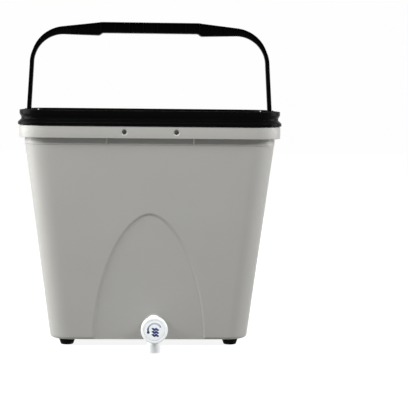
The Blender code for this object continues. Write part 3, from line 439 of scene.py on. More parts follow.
def turned(line, steps, origin=TAP, axis=OUT, wrap=False):
    """A shell from a profile of radius and distance that is carried round an axis."""
    axis = np.array(axis, float)
    first = np.array((0.0, 1.0, 0.0) if abs(axis[0]) > 0.5 else (1.0, 0.0, 0.0))
    second = np.cross(axis, first)
    angle = np.linspace(0, 2 * np.pi, steps, endpoint=False)
    way = np.cos(angle)[:, None] * first + np.sin(angle)[:, None] * second
    radius, distance = line.T
    return shell(np.array(origin) + distance[:, None, None] * axis + radius[:, None, None] * way, wrap)


def swept(path, width, base, top):
    """A flat stroke on the knob's face: a path widened to both sides along its normal, from base to top."""
    along = np.gradient(path, axis=0)
    along /= np.linalg.norm(along, axis=1)[:, None]
    normal = np.column_stack([-along[:, 1], along[:, 0]]) * width / 2
    edges = np.stack([path - normal, path + normal, path + normal, path - normal], axis=1)
    out = np.broadcast_to(-np.array([base, base, top, top]), edges.shape[:2])
    return shell(np.array(TAP) + np.stack([edges[..., 0], out, edges[..., 1]], axis=-1))


def mesh_of(name, *shells):
    """One mesh from shells, each its points, four-cornered and three-cornered faces."""
    points, quads, fans = [], [], []
    for more_points, more_quads, more_fans in shells:
        quads += (more_quads + len(points)).tolist()
        fans += (more_fans + len(points)).tolist()
        points += more_points.tolist()
    mesh = bpy.data.meshes.new(name)
    mesh.from_pydata(points, [], quads + fans, shade_flat=False)
    return mesh


def merged(name, mesh, *steps):
    """The mesh after each step, an operation and shells that don't touch each other: UNION or DIFFERENCE."""
    made = linked(name, mesh)
    parts = [made]
    for operation, shells in steps:
        parts.append(linked(f"{name}_tool", mesh_of("tool", *shells)))
        modifier = made.modifiers.new(operation, "BOOLEAN")
        modifier.operation = operation
        modifier.object = parts[-1]
        modifier.solver = "MANIFOLD"
    graph = bpy.context.evaluated_depsgraph_get()
    result = bpy.data.meshes.new_from_object(made.evaluated_get(graph))
    for part in parts:
        bpy.data.objects.remove(part, do_unlink=True)
    return result


def add_piece(name, mesh, finish, body, *nodes, sharp=32):
    """Puts a mesh into the frame as a piece that rides on a body and stands for CAD nodes. Edges where faces
    meet at more than the sharp angle, in degrees, are drawn hard."""
    mesh.transform(Matrix.Translation((0, FRAME_Y, 0)))
    mesh.materials.clear()
    mesh.materials.append(finish)
    mesh.shade_smooth()
    mesh.set_sharp_from_angle(angle=math.radians(sharp))
    made = linked(name, mesh)
    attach(made, body)
    if nodes:
        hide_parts(*nodes)


def block(low, high, edge):
    """A box with rounded edges, between two corners. The rings' corners shrink a little less than their
    sides, so that none becomes a point."""
    corner_share = 0.98
    low, high = np.sort([low, high], axis=0)
    half = (high - low) / 2
    line = rounded([(-edge, -half[2], 0), (0, -half[2], edge), (0, half[2], edge), (-edge, half[2], 0)], 3)
    reach, z = line.T
    rings = np.column_stack([half[0] + reach, half[1] + reach, edge + reach * corner_share, z])
    return shell(rounded_rings(rings, even_stations(2, 2, 3)) + (low + high) / 2)


def rod(radius, start, end, origin, axis, edge=0.0003, steps=32):
    """A turned rod between two distances along an axis, with rounded ends."""
    inner = radius * 0.5
    line = rounded([(inner, start, 0), (radius, start, edge), (radius, end, edge), (inner, end, 0)], 3)
    return turned(line, steps, origin, axis)


def carried(outline, axis, low, high, edge=0.0004):
    """A plate: an outline carried straight along an axis, 0 for X and 1 for Y, a little smaller at both ends.
    The outline's points hold the other two directions."""
    middle = outline.mean(axis=0)
    shrink = 1 - edge / np.abs(outline - middle).max()
    low, high = sorted((low, high))
    place = np.array([low, low + edge, high - edge, high])[:, None]
    line = middle + (outline - middle) * np.array([shrink, 1, 1, shrink])[:, None, None]
    columns = [line[..., 0], line[..., 1]]
    columns.insert(axis, np.broadcast_to(place, line.shape[:2]))
    return shell(np.stack(columns, axis=-1))


# Finishes

def linear(code):
    """An sRGB hex colour as linear red, green, blue and alpha."""
    share = np.array([int(code[place:place + 2], 16) for place in (1, 3, 5)]) / 255
    return (*np.where(share <= 0.04045, share / 12.92, ((share + 0.055) / 1.055) ** 2.4).tolist(), 1)


def feed(node, inputs):
    """Gives a node its inputs, each a value or another node's output, by the socket's name or number."""
    for name, value in inputs.items():
        if isinstance(value, bpy.types.NodeSocket):
            node.id_data.links.new(value, node.inputs[name])
        else:
            node.inputs[name].default_value = value


def add_node(tree, kind, inputs=None, **settings):
    """Adds a shader node with its settings and inputs."""
    made = tree.nodes.new("ShaderNode" + kind)
    for name, value in settings.items():
        setattr(made, name, value)
    feed(made, inputs or {})
    return made


def clouds(tree, place, size, detail=2.0):
    """A cloudy pattern of a size in metres. Its scale is one over its size."""
    return add_node(tree, "TexNoise", {"Vector": place, "Scale": 1 / size, "Detail": detail}).outputs["Fac"]


def ranged(tree, value, low, high, first=0, last=1):
    """A value that runs from low to high while the one that comes in runs from first to last."""
    return add_node(tree, "MapRange", {"Value": value, "From Min": first, "From Max": last, "To Min": low,
                                       "To Max": high}).outputs["Result"]


def new_material(name, slot):
    """A material of a CAD slot, with its node tree, its shader and the place on the piece."""
    material = bpy.data.materials.new(name)
    material["slot"] = slot
    material.use_nodes = True
    tree = material.node_tree
    return material, tree, tree.nodes["Principled BSDF"], add_node(tree, "TexCoord").outputs["Object"]


def moulded(name, slot, colours, tone_size, roughness, gloss_size, grain_size, grain_depth, **sockets):
    """A moulded surface: two close colours in soft clouds, gloss that varies in patches, and a fine grain.
    Sizes are in metres. Sockets are the shader's own values."""
    material, tree, shader, place = new_material(name, slot)
    tone = add_node(tree, "Mix", {"Factor": clouds(tree, place, tone_size), "A": linear(colours[0]),
                                  "B": linear(colours[1])}, data_type="RGBA")
    gloss = ranged(tree, clouds(tree, place, gloss_size, 3.0), *roughness, 0.3, 0.7)
    bump = add_node(tree, "Bump", {"Height": clouds(tree, place, grain_size), "Distance": grain_depth})
    feed(shader, {"Base Color": tone.outputs["Result"], "Roughness": gloss, "Normal": bump.outputs["Normal"]})
    feed(shader, {socket.replace("_", " "): value for socket, value in sockets.items()})
    return material


# Grey polypropylene, injection moulded with a fine satin texture: an even warm grey with soft wide
# reflections. Its real grain is about 0.1 mm, too fine to show, so it is drawn at 1.6 mm and very shallow.
GREY_PLASTIC = moulded(
    "grey_polypropylene_satin_moulded", "grey_plastic", ("#9b9a96", "#a09f9b"), tone_size=0.09,
    roughness=(0.4, 0.47), gloss_size=0.05, grain_size=0.0016, grain_depth=0.000012, IOR=1.49)

# Black polypropylene, moulded smoother than the bucket: deep black with faint highlights along its edges.
BLACK_PLASTIC = moulded(
    "black_polypropylene_smooth_moulded", "black_plastic", ("#030303", "#050505"), tone_size=0.06,
    roughness=(0.24, 0.32), gloss_size=0.03, grain_size=0.0014, grain_depth=0.00001, IOR=1.49,
    Specular_IOR_Level=0.022)

# White acetal, moulded and slightly glossy: a clean cool white.
WHITE_ACETAL = moulded(
    "white_acetal_moulded", "white_plastic", ("#eceff1", "#f0f3f4"), tone_size=0.02,
    roughness=(0.22, 0.3), gloss_size=0.01, grain_size=0.0012, grain_depth=0.000005, IOR=1.48)

# Dark grey polypropylene, moulded matt: the plate and the filter inside the bin.
DARK_PLASTIC = moulded(
    "dark_grey_polypropylene_matt_moulded", "dark_grey_plastic", ("#3b3b3b", "#414140"), tone_size=0.04,
    roughness=(0.46, 0.56), gloss_size=0.03, grain_size=0.0015, grain_depth=0.00002, IOR=1.49)

# Black rubber, moulded soft: nearly no gloss, with a slightly dusty grain.
BLACK_RUBBER = moulded(
    "black_nitrile_rubber_moulded", "black_rubber", ("#050505", "#0a0a0a"), tone_size=0.004,
    roughness=(0.62, 0.78), gloss_size=0.004, grain_size=0.001, grain_depth=0.00003, IOR=1.52,
    Specular_IOR_Level=0.05)

# Grey silicone rubber of the seals: smooth and dull.
SILICONE_RUBBER = moulded(
    "grey_silicone_rubber_moulded", "seal_rubber", ("#868684", "#8e8e8b"), tone_size=0.01,
    roughness=(0.48, 0.6), gloss_size=0.006, grain_size=0.001, grain_depth=0.00001, IOR=1.41)


def turned_steel():
    """Steel of the pins: bright grey metal with turning rings 0.35 mm apart across the pin's length. At scale
    1 the pattern's rings are 0.31 m apart."""
    material, tree, shader, place = new_material("stainless_steel_turned", "pin_steel")
    rings = add_node(tree, "TexWave", {"Vector": place, "Scale": 0.31 / 0.00035, "Distortion": 0.6},
                     bands_direction="X").outputs["Fac"]
    bump = add_node(tree, "Bump", {"Height": rings, "Distance": 0.00001})
    feed(shader, {"Base Color": linear("#b9bab8"), "Metallic": 1.0,
                  "Roughness": ranged(tree, rings, 0.24, 0.36), "Normal": bump.outputs["Normal"]})
    return material


def printed_ink(name, stops):
    """Pad-printed ink on the knob's face: flat and slightly dull. Its colour runs with the height: each stop
    is a height in metres above the tap's axis and a colour."""
    material, tree, shader, place = new_material(name, "white_plastic")
    height = add_node(tree, "SeparateXYZ", {"Vector": place}).outputs["Z"]
    low, high = TAP_Z + stops[0][0], TAP_Z + stops[-1][0]
    ramp = add_node(tree, "ValToRGB", {"Fac": ranged(tree, height, 0, 1, low, high)})
    elements = ramp.color_ramp.elements
    while len(elements) < len(stops):
        elements.new(0.5)
    for element, (above, colour) in zip(elements, stops):
        element.position = (TAP_Z + above - low) / (high - low)
        element.color = linear(colour)
    gloss = ranged(tree, clouds(tree, place, 0.0008), 0.4, 0.55)
    feed(shader, {"IOR": 1.5, "Base Color": ramp.outputs["Color"], "Roughness": gloss})
    return material


TURNED_STEEL = turned_steel()
ARROW_INK = printed_ink("slate_blue_pad_print", [(-0.003, "#101c2c"), (-0.001, "#2a3648"),
                                                 (0.0025, "#44505c"), (0.005, "#8890a4"), (0.009, "#b0b4c4")])
WAVE_INK = printed_ink("navy_blue_pad_print", [(-0.01, "#06235c"), (0.005, "#0f3270")])


# Bucket, rim and feet

def eased(share):
    """A share from 0 to 1 that starts and ends softly."""
    return share ** 2 * (3 - 2 * share)


def arch_relief(x, height):
    """How far the front wall is sunk. F = (across / half width)^p + (up / height)^p is 1 on the arch's edge.
    The distance from the edge is about (1 - F) over F's slope, and the depth eases in over the step."""
    across = np.abs(x) / (ARCH_WIDTH / 2)
    up = np.maximum(height, 0) / ARCH_HEIGHT
    value = across ** ARCH_POWER + up ** ARCH_POWER
    slope_x = ARCH_POWER * across ** (ARCH_POWER - 1) / (ARCH_WIDTH / 2)
    slope_z = ARCH_POWER * up ** (ARCH_POWER - 1) / ARCH_HEIGHT
    distance = (1 - value) / np.maximum(np.hypot(slope_x, slope_z), 1e-3)
    return ARCH_DEPTH * eased(np.clip(distance / ARCH_STEP + 0.5, 0, 1))


def sunk(rings, outline, reach):
    """The wall's points with their front pushed in by the relief: never further out than the sunk plane."""
    x, y, z = np.moveaxis(rounded_rings(rings, outline), -1, 0)
    plane = -(BASE_DEPTH / 2 + WALL_SLOPE * (z - BASE_Z) + reach)
    lean = math.hypot(1, WALL_SLOPE)
    relief = arch_relief(x, (z - BASE_Z) * lean) * lean
    y = np.where((y < -ARCH_FRONT) & (relief > 0), np.maximum(y, plane + relief), y)
    return np.stack([x, y, z], axis=-1)


def bucket_wall():
    """The bucket's moulding: up the outside, over the rim and down the inside to the floor."""
    dense = np.linspace(-ARCH_SHARE, ARCH_SHARE, 128)
    ends = np.linspace(ARCH_SHARE, 1, 6)[1:-1]
    front = np.concatenate([-ends[::-1], dense, ends])
    outline = stations(front, inner_shares(14), inner_shares(20), 12)
    turn = np.radians(np.linspace(-90, 0, 8))
    inward, up = BASE_ROUNDING * (np.cos(turn) - 1), BASE_ROUNDING * (1 + np.sin(turn))
    arch_top = BASE_Z + ARCH_HEIGHT + ARCH_ROOM
    rows = np.concatenate([np.linspace(BASE_Z + BASE_ROUNDING, arch_top, 138)[1:],
                           np.linspace(arch_top, SHOULDER_Z, 14)[1:]])
    outside = sunk(np.vstack([wall_rings(inward, BASE_Z + up), wall_rings(0, rows)]), outline, 0)
    inside = sunk(wall_rings(-WALL, rows[::-1]), outline, -WALL)
    bowl = sunk(wall_rings(-WALL + inward[::-1], BASE_Z + FLOOR + up[::-1]), outline, -WALL)
    skirt_in = SKIRT_REACH - SKIRT_WALL
    rim = rounded([
        (0, SHOULDER_Z + SHOULDER_STEP, 0), (0, SHELF_Z - SKIRT_WALL, 0.001),
        (skirt_in, SHELF_Z - SKIRT_WALL, 0.0008), (skirt_in, SKIRT_Z, 0.0004), (SKIRT_REACH, SKIRT_Z, 0.0006),
        (SKIRT_REACH, SHELF_Z, 0.0016), (0, SHELF_Z, 0.0003), (0, UPSTAND_Z, 0.0006),
        (-WALL, UPSTAND_Z, 0.0006), (-WALL, SHOULDER_Z + WALL, 0),
    ])
    rim = rounded_rings(mouth_rings(rim), outline)
    return mesh_of("bucket_moulding", shell(np.concatenate([outside, rim, inside, bowl[1:]])))


def add_bucket():
    skirt_y = MOUTH_Y + SKIRT_REACH
    wall, face = WALL / 2 - MOUTH_Y, SKIRT_WALL / 2 - skirt_y
    gusset = np.array([
        (wall, SKIRT_Z - GUSSET_DROP), (wall, SHELF_Z - SKIRT_WALL / 2), (face, SHELF_Z - SKIRT_WALL / 2),
        (face, SKIRT_Z + 0.0006), (-MOUTH_Y - SHOULDER_STEP, SKIRT_Z - GUSSET_DROP),
    ])
    joined = []
    for x in (-GUSSET_SPACING / 2, GUSSET_SPACING / 2):
        for facing in (1, -1):
            joined.append(carried(gusset * (facing, 1), 0, x - GUSSET_WALL / 2, x + GUSSET_WALL / 2))
    seat = SEAT_INNER_Y - SEAT_Y
    joined.append(rod(SEAT_RADIUS, -seat, 0, TAP, OUT, 0.0005, 48))
    for x in (-FOOT_X, FOOT_X):
        for y in (-FOOT_Y, FOOT_Y):
            joined.append(rod(STUD_RADIUS, BASE_Z - STUD_LENGTH, BASE_Z + FLOOR / 2, (x, y, 0), UP))
    cut = [rod(SHANK_HOLE, -seat - CUT_PAST, CUT_PAST, TAP, OUT, steps=48)]
    through = -SKIRT_WALL - 0.001
    hole = rounded([
        (0.001, CUT_PAST, 0), (RIM_HOLE_MOUTH + CUT_PAST, CUT_PAST, 0), (RIM_HOLE_MOUTH, 0, 0.0004),
        (RIM_HOLE_RADIUS, -RIM_HOLE_SINK, 0.0003), (RIM_HOLE_RADIUS, through, 0), (0.001, through, 0),
    ])
    for x in (-RIM_HOLE_SPACING / 2, RIM_HOLE_SPACING / 2):
        cut.append(turned(hole, 40, (x, -skirt_y, (SKIRT_Z + SHELF_Z) / 2)))
    body = merged("bucket", bucket_wall(), ("UNION", joined), ("DIFFERENCE", cut))
    add_piece("bucket_moulding", body, GREY_PLASTIC, "bin", "bucket")


def add_feet():
    line = rounded([
        (STUD_RADIUS + GAP, FOOT_HEIGHT - STUD_LENGTH - GAP, 0), (STUD_RADIUS + GAP, FOOT_HEIGHT, 0.0004),
        (FOOT_TOP_RADIUS, FOOT_HEIGHT, 0.0007), (FOOT_TOP_RADIUS - 0.0006, FOOT_HEIGHT * FOOT_WAIST, 0.002),
        (FOOT_BOTTOM_RADIUS, 0, 0.0016), (FOOT_BOTTOM_RADIUS * 0.7, 0, 0),
    ])
    for end, y in (("front", -FOOT_Y), ("back", FOOT_Y)):
        for side, x in (("left", -FOOT_X), ("right", FOOT_X)):
            name = f"foot_{end}_{side}"
            mesh = mesh_of("foot", turned(line, 56, (x, y, 0), UP))
            add_piece(name + "_rubber", mesh, BLACK_RUBBER, "bin", name)


# Lid with its gasket and pins

def lid_line():
    """The lid's profile as reach from the mouth and height above the shelf, each with its rounding."""
    plug_in = PLUG_INSET + LID_WALL
    flange_in = FLANGE_REACH - LID_WALL
    neck_in = NECK_REACH - LID_WALL
    tier_in = TIER_REACH - LID_WALL
    return rounded([
        (-FIELD_INSET - LID_WALL, PANEL_TOP - LID_WALL + FIELD_RISE, 0),
        (-FIELD_INSET, PANEL_TOP - LID_WALL, 0.0006), (-plug_in, PANEL_TOP - LID_WALL, 0.0006),
        (-plug_in, -PLUG_DEPTH, 0.0008), (-PLUG_INSET, -PLUG_DEPTH, 0.0008),
        (-PLUG_INSET, WEB_TOP - LID_WALL, 0.0004), (neck_in, WEB_TOP - LID_WALL, 0.0006),
        (flange_in, FLANGE_HEIGHT - LID_EDGE, 0.001), (flange_in, LID_SEAT, 0.0003),
        (FLANGE_REACH, LID_SEAT, 0.0005), (FLANGE_REACH, FLANGE_HEIGHT + 0.0006, 0.0012),
        (NECK_REACH, NECK_HEIGHT - 0.0022, 0.0012), (NECK_REACH, NECK_HEIGHT + LID_EDGE, 0.0009),
        (TIER_REACH, TIER_BOTTOM - 0.0008, 0.0009), (TIER_REACH, LID_HEIGHT, 0.001),
        (tier_in, LID_HEIGHT, 0.0007), (tier_in, TIER_BOTTOM - LID_EDGE, 0.0008),
        (neck_in + LID_EDGE, NECK_HEIGHT + LID_EDGE, 0.0008), (neck_in - LID_EDGE, WEB_TOP, 0.0008),
        (LID_WALL - PLUG_INSET, WEB_TOP, 0.0008), (-PLUG_INSET, WEB_TOP - LID_EDGE, 0.0006),
        (-plug_in, PANEL_TOP + LID_EDGE, 0.0008), (-plug_in - LID_WALL, PANEL_TOP, 0.0008),
        (LID_EDGE - FIELD_INSET, PANEL_TOP, 0.0008),
        (LID_EDGE - FIELD_INSET - LID_WALL, PANEL_TOP + FIELD_RISE, 0.0008),
        (-FIELD_INSET - 2 * LID_WALL, PANEL_TOP + FIELD_RISE, 0),
    ])


def add_lid():
    """The lid. On each side the housing closes the neck's groove round the room for the handle's eye, the
    pocket is cut into it, and a lug on a foot holds the pin."""
    outline = even_stations(40, 26, 16)
    line = lid_line() + (0, SHELF_Z)
    body = mesh_of("lid_moulding", shell(rounded_rings(mouth_rings(line), outline)))
    neck_x = MOUTH_X + NECK_REACH - LID_WALL / 2
    tier_x = LID_OUTER_X - LID_WALL / 2
    room = np.array([
        (neck_x, WEB_TOP - LID_WALL), (LID_OUTER_X - GAP, WEB_TOP - LID_WALL),
        (LID_OUTER_X - GAP, TIER_BOTTOM + LID_WALL), (tier_x, TIER_BOTTOM + LID_WALL), (tier_x, TIER_BOTTOM),
        (neck_x, NECK_HEIGHT),
    ]) + (0, SHELF_Z)
    housing = POCKET_HALF + HOUSING_WALL
    pocket_inner = LUG_FACE_X + LUG_CLEARANCE / 2
    pocket_outer = LID_OUTER_X - LID_WALL
    ear = LID_WALL / 2 - GAP / 2
    web = SHELF_Z + WEB_TOP
    foot = web - LID_WALL / 2
    arch = circle(np.radians(np.linspace(0, 180, 25)), LUG_RADIUS, (0, PIVOT_Z))
    arch = np.vstack([[(-LUG_RADIUS, foot), (LUG_RADIUS, foot)], arch[1:-1]])
    foot_outer = MOUTH_X - PLUG_INSET - LID_WALL / 2
    housings, ears, lugs, feet, pockets, bores = [], [], [], [], [], []
    for side in (-1, 1):
        housings.append(carried(room * (side, 1), 1, -housing, housing))
        pockets.append(block((side * pocket_inner, -POCKET_HALF, web + GAP),
                             (side * pocket_outer, POCKET_HALF, SHELF_Z + LID_HEIGHT + CUT_PAST),
                             0.0004))
        place = (side * (pocket_outer + LID_WALL / 2), 0, PIVOT_Z)
        ears.append(rod(LUG_RADIUS, -ear, ear, place, (1, 0, 0), 0.0003, 48))
        lugs.append(carried(arch, 0, side * LUG_FACE_X, side * LUG_END_X, 0.0005))
        feet.append(block((side * (LUG_END_X + GAP), GAP - LUG_RADIUS, SHELF_Z + PANEL_TOP - LID_WALL / 2),
                          (side * foot_outer, LUG_RADIUS - GAP, PIVOT_Z - LUG_RADIUS), 0.0003))
        bores.append(rod(PIN_RADIUS + GAP, LUG_END_X - BORE_PAST, LID_OUTER_X + BORE_PAST, PIVOT,
                         (side, 0, 0)))
    body = merged("lid", body, ("UNION", housings), ("UNION", ears), ("DIFFERENCE", pockets), ("UNION", feet),
                  ("UNION", lugs), ("DIFFERENCE", bores))
    add_piece("lid_moulding", body, BLACK_PLASTIC, "lid", "lid")

    low = UPSTAND_Z + GAP
    rings = mouth_rings(seal_section(-GASKET_INSET, GASKET_REACH, low, low + GASKET))
    mesh = mesh_of("gasket", shell(rounded_rings(rings, outline), wrap=True))
    add_piece("lid_seal_ring", mesh, SILICONE_RUBBER, "lid", "lid_gasket")

    start = LUG_END_X - GAP
    line = rounded([
        (0.0012, start - PIN_HEAD, 0), (PIN_HEAD_RADIUS, start - PIN_HEAD, 0.0006),
        (PIN_HEAD_RADIUS, start, 0.0002), (PIN_RADIUS, start, 0.0001), (PIN_RADIUS, LID_OUTER_X, 0.0006),
        (0.0012, LID_OUTER_X, 0),
    ])
    for side, way in (("left", -1), ("right", 1)):
        mesh = mesh_of("pin", turned(line, 40, PIVOT, (way, 0, 0)))
        add_piece(f"handle_pin_{side}_turned", mesh, TURNED_STEEL, "lid", f"handle_pin_{side}")


# Handle

def handle_edges(run):
    """The right half's inner and outer edge, in X and Z from the pivot, and half its depth, at distances run
    along the leg, the quarter-circle bend, the arm whose top rises evenly, and the grip."""
    lean = LEG_LEAN * np.maximum(run - EYE_RADIUS, 0)
    leg_in = np.stack([LEG_X - LEG_THICKNESS - lean, run], axis=-1)
    thin = run / BEND_HEIGHT * (LEG_THICKNESS - BEND_THIN)
    leg_out = np.stack([LEG_X - lean - thin, run], axis=-1)

    turn = np.clip((run - BEND_HEIGHT) / BEND_RUN, 0, 1)
    growth = BEND_GROWTH * np.maximum(turn - BEND_START, 0) / (1 - BEND_START)
    way = circle(np.pi / 2 * turn)
    centre = np.array([BEND_X, BEND_HEIGHT])
    bend_in = centre + BEND_RADIUS * way
    bend_out = centre + (BEND_RADIUS + BEND_THIN + growth)[:, None] * way

    along = run - BEND_HEIGHT - BEND_RUN
    x = BEND_X - along
    under = BEND_HEIGHT + BEND_RADIUS
    share = np.clip(along / ARM_RUN, 0, 1)
    ease = eased(np.clip((run - GRIP_RUN) / (2 * GRIP_STEP) + 0.5, 0, 1))
    arm_top = under + BEND_THIN + BEND_GROWTH + share * (ARM_RISE - BEND_THIN - BEND_GROWTH)
    top = arm_top + ease * (under - ARM_DROP + GRIP_STEP + GRIP_THICKNESS - arm_top)
    arm_in = np.stack([x, under - ARM_DROP * share + GRIP_STEP * ease], axis=-1)
    arm_out = np.stack([x, top], axis=-1)

    leg = (run <= BEND_HEIGHT)[:, None]
    bend = (run <= ARM_START)[:, None]
    inner = np.where(leg, leg_in, np.where(bend, bend_in, arm_in))
    outer = np.where(leg, leg_out, np.where(bend, bend_out, arm_out))
    depth = LEG_HALF_DEPTH + share * (GRIP_HALF_DEPTH - LEG_HALF_DEPTH)
    return inner, outer, depth


def pocket_spans():
    """Start and end of each pocket between two cross ribs, on the right half of the handle."""
    bend = BEND_HEIGHT + BEND_RUN * np.arange(BEND_POCKETS + 1) / BEND_POCKETS
    arm = GRIP_RUN - ARM_RUN + ARM_RUN * np.arange(1, ARM_POCKETS + 1) / ARM_POCKETS
    grip = GRIP_RUN + GRIP_WIDTH * np.arange(1, GRIP_POCKETS // 2 + 2) / GRIP_POCKETS
    edges = np.concatenate([bend, arm, grip])
    return edges[:-1] + HANDLE_RIB / 2, edges[1:] - HANDLE_RIB / 2


def add_handle():
    """An I-section carried along the handle. Each quarter of it runs from the edge face round the flange to
    the web, which is thin in the pockets and thick at the ribs."""
    starts, ends = pocket_spans()
    chamfer, edge = HANDLE_CHAMFER, HANDLE_EDGE
    stops = (0, BEND_HEIGHT, ARM_START, GRIP_RUN - GRIP_STEP, GRIP_RUN + GRIP_STEP, HANDLE_RUN)
    runs = [np.linspace(*span) for span in zip(stops, stops[1:], (24, 49, 16, 9, 25))]
    runs = np.concatenate(runs + [starts - edge, starts + edge, ends - edge, ends + edge])
    runs = np.unique(np.round(runs[runs <= HANDLE_RUN], 6))
    inner, outer, depth = handle_edges(runs)
    thickness = np.linalg.norm(outer - inner, axis=1)
    across = (outer - inner) / thickness[:, None]
    flange = np.minimum(HANDLE_FLANGE, FLANGE_LIMIT * thickness)
    in_pocket = ((runs[:, None] > starts) & (runs[:, None] < ends)).any(axis=1)
    web = np.where(in_pocket, HANDLE_WEB / 2, depth - RIB_SINK)
    cut = ARC_MIDDLE * chamfer
    zero = np.zeros_like(runs)
    reach = np.stack([zero, zero + cut, zero + chamfer, flange - edge, flange, flange, flange + edge], 1)
    deep = np.stack([chamfer - depth, cut - depth, -depth, -depth, edge - depth, -web - edge, -web], 1)
    full = thickness[:, None]
    reach = np.hstack([reach, full - reach[:, ::-1], full - reach, reach[:, ::-1]])
    deep = np.hstack([deep, deep[:, ::-1], -deep, -deep[:, ::-1]])
    x = inner[:, :1] + reach * across[:, :1]
    z = inner[:, 1:] + reach * across[:, 1:]
    right = np.stack([x, deep, z + PIVOT_Z], axis=-1)
    left = right[-2::-1] * (-1, 1, 1)
    body = mesh_of("handle_moulding", shell(np.concatenate([right, left])))
    face = LEG_X - LEG_THICKNESS
    eyes = [rod(EYE_RADIUS, face, LEG_X, PIVOT, (side, 0, 0), 0.0005, 56) for side in (-1, 1)]
    bores = [rod(PIN_RADIUS + GAP, face - BORE_PAST, LEG_X + BORE_PAST, PIVOT, (side, 0, 0))
             for side in (-1, 1)]
    body = merged("handle", body, ("UNION", eyes), ("DIFFERENCE", bores))
    add_piece("handle_moulding", body, BLACK_PLASTIC, "handle", "carry_handle")


# Drain plate

def add_plate():
    """The plate with its rim lip, six legs, and holes on a square grid that keep clear of legs and edge."""
    low = PLATE_UNDER - PLATE_LIP
    top = PLATE_UNDER + PLATE_THICKNESS
    half_x, half_y, corner, _ = wall_rings(-WALL - ARCH_DEPTH - PLATE_CLEARANCE, low)[0]
    line = rounded([
        (-3 * LIP_WALL, PLATE_UNDER, 0), (-LIP_WALL, PLATE_UNDER, 0), (-LIP_WALL, low, 0.0005),
        (0, low, 0.0005), (0, top, 0.0008), (-2 * LIP_WALL, top, 0),
    ])
    reach, z = line.T
    rings = np.column_stack([half_x + reach, half_y + reach, corner + reach, z])
    body = mesh_of("plate", shell(rounded_rings(rings, even_stations(30, 20, 12))))
    foot = BASE_Z + FLOOR + GAP
    places = [(x, y) for x in (-PLATE_LEG_X, 0, PLATE_LEG_X) for y in (-PLATE_LEG_Y, PLATE_LEG_Y)]
    legs = [rod(PLATE_LEG, foot, PLATE_UNDER + PLATE_THICKNESS / 2, (x, y, 0), UP, 0.0006, 36)
            for x, y in places]
    columns = int((half_x - PLATE_MARGIN) / PLATE_PITCH)
    rows = int((half_y - PLATE_MARGIN) / PLATE_PITCH)
    across, deep = np.meshgrid(np.arange(-columns, columns + 1), np.arange(-rows, rows + 1))
    spots = np.column_stack([across.ravel(), deep.ravel()]) * PLATE_PITCH
    apart = np.linalg.norm(spots[:, None] - places, axis=2).min(axis=1)
    over = np.maximum(np.abs(spots) - (half_x - corner, half_y - corner), 0)
    inside = np.linalg.norm(over, axis=1) < corner - PLATE_MARGIN / 2
    keep = (apart > PLATE_LEG + PLATE_HOLE + PLATE_HOLE_ROOM) & inside
    holes = [rod(PLATE_HOLE, PLATE_UNDER - CUT_PAST, top + CUT_PAST, (x, y, 0), UP, 0.0002, 28)
             for x, y in spots[keep]]
    body = merged("plate", body, ("UNION", legs), ("DIFFERENCE", holes))
    add_piece("drain_plate_moulding", body, DARK_PLASTIC, "plate", "drain_plate")


# Tap

def add_tap():
    """The tap's body, a turned shank, flange, barrel and housing with the spout through it, and two
    washers."""
    flange = 2 * GAP + WASHER
    bore = PLUG_RADIUS + GAP
    section = rounded([
        (HOUSING_RADIUS, HOUSING_END, 0.0006), (HOUSING_RADIUS, HOUSING_START, 0.0008),
        (BARREL_RADIUS, HOUSING_START, 0.0008), (BARREL_RADIUS, flange + TAP_FLANGE, 0.0008),
        (TAP_FLANGE_RADIUS, flange + TAP_FLANGE, 0.0006), (TAP_FLANGE_RADIUS, flange, 0.0002),
        (SHANK_RADIUS, flange, 0.0002), (SHANK_RADIUS, SHANK_END, 0.0006), (SHANK_BORE, SHANK_END, 0.0004),
        (SHANK_BORE, PLUG_START - GAP, 0.0003), (bore, PLUG_START - GAP, 0.0003), (bore, HOUSING_END, 0.0003),
    ], closed=True)
    body = mesh_of("tap", turned(section, 72, wrap=True))
    top = -PLUG_RADIUS - GAP - 0.0006
    low = SPOUT_CLEARANCE - TAP_Z
    past = low - 0.001
    inner = SPOUT_RADIUS - SPOUT_WALL
    tube = rounded([(0.004, top, 0), (SPOUT_RADIUS, top, 0.0002), (SPOUT_RADIUS, low, 0.0007),
                    (0.004, low, 0)])
    mouth = rounded([(0.003, BORE_PAST, 0), (inner, BORE_PAST, 0), (inner, low + 0.0006, 0),
                     (inner + 0.0008, past, 0), (0.004, past, 0)], 2)
    body = merged("tap", body, ("UNION", [turned(tube, 56, SPOUT, UP)]),
                  ("DIFFERENCE", [turned(mouth, 48, SPOUT, UP)]))
    add_piece("tap_body_moulding", body, WHITE_ACETAL, "bin", "tap_body")

    for side, start in (("outer", GAP), ("inner", WALL_END - GAP - WASHER)):
        name = f"{side}_washer_rubber"
        section = seal_section(SHANK_HOLE, WASHER_RADIUS, start, start + WASHER)
        mesh = mesh_of(name, turned(section, 64, wrap=True))
        add_piece(name, mesh, SILICONE_RUBBER, "bin", f"{side}_washer")


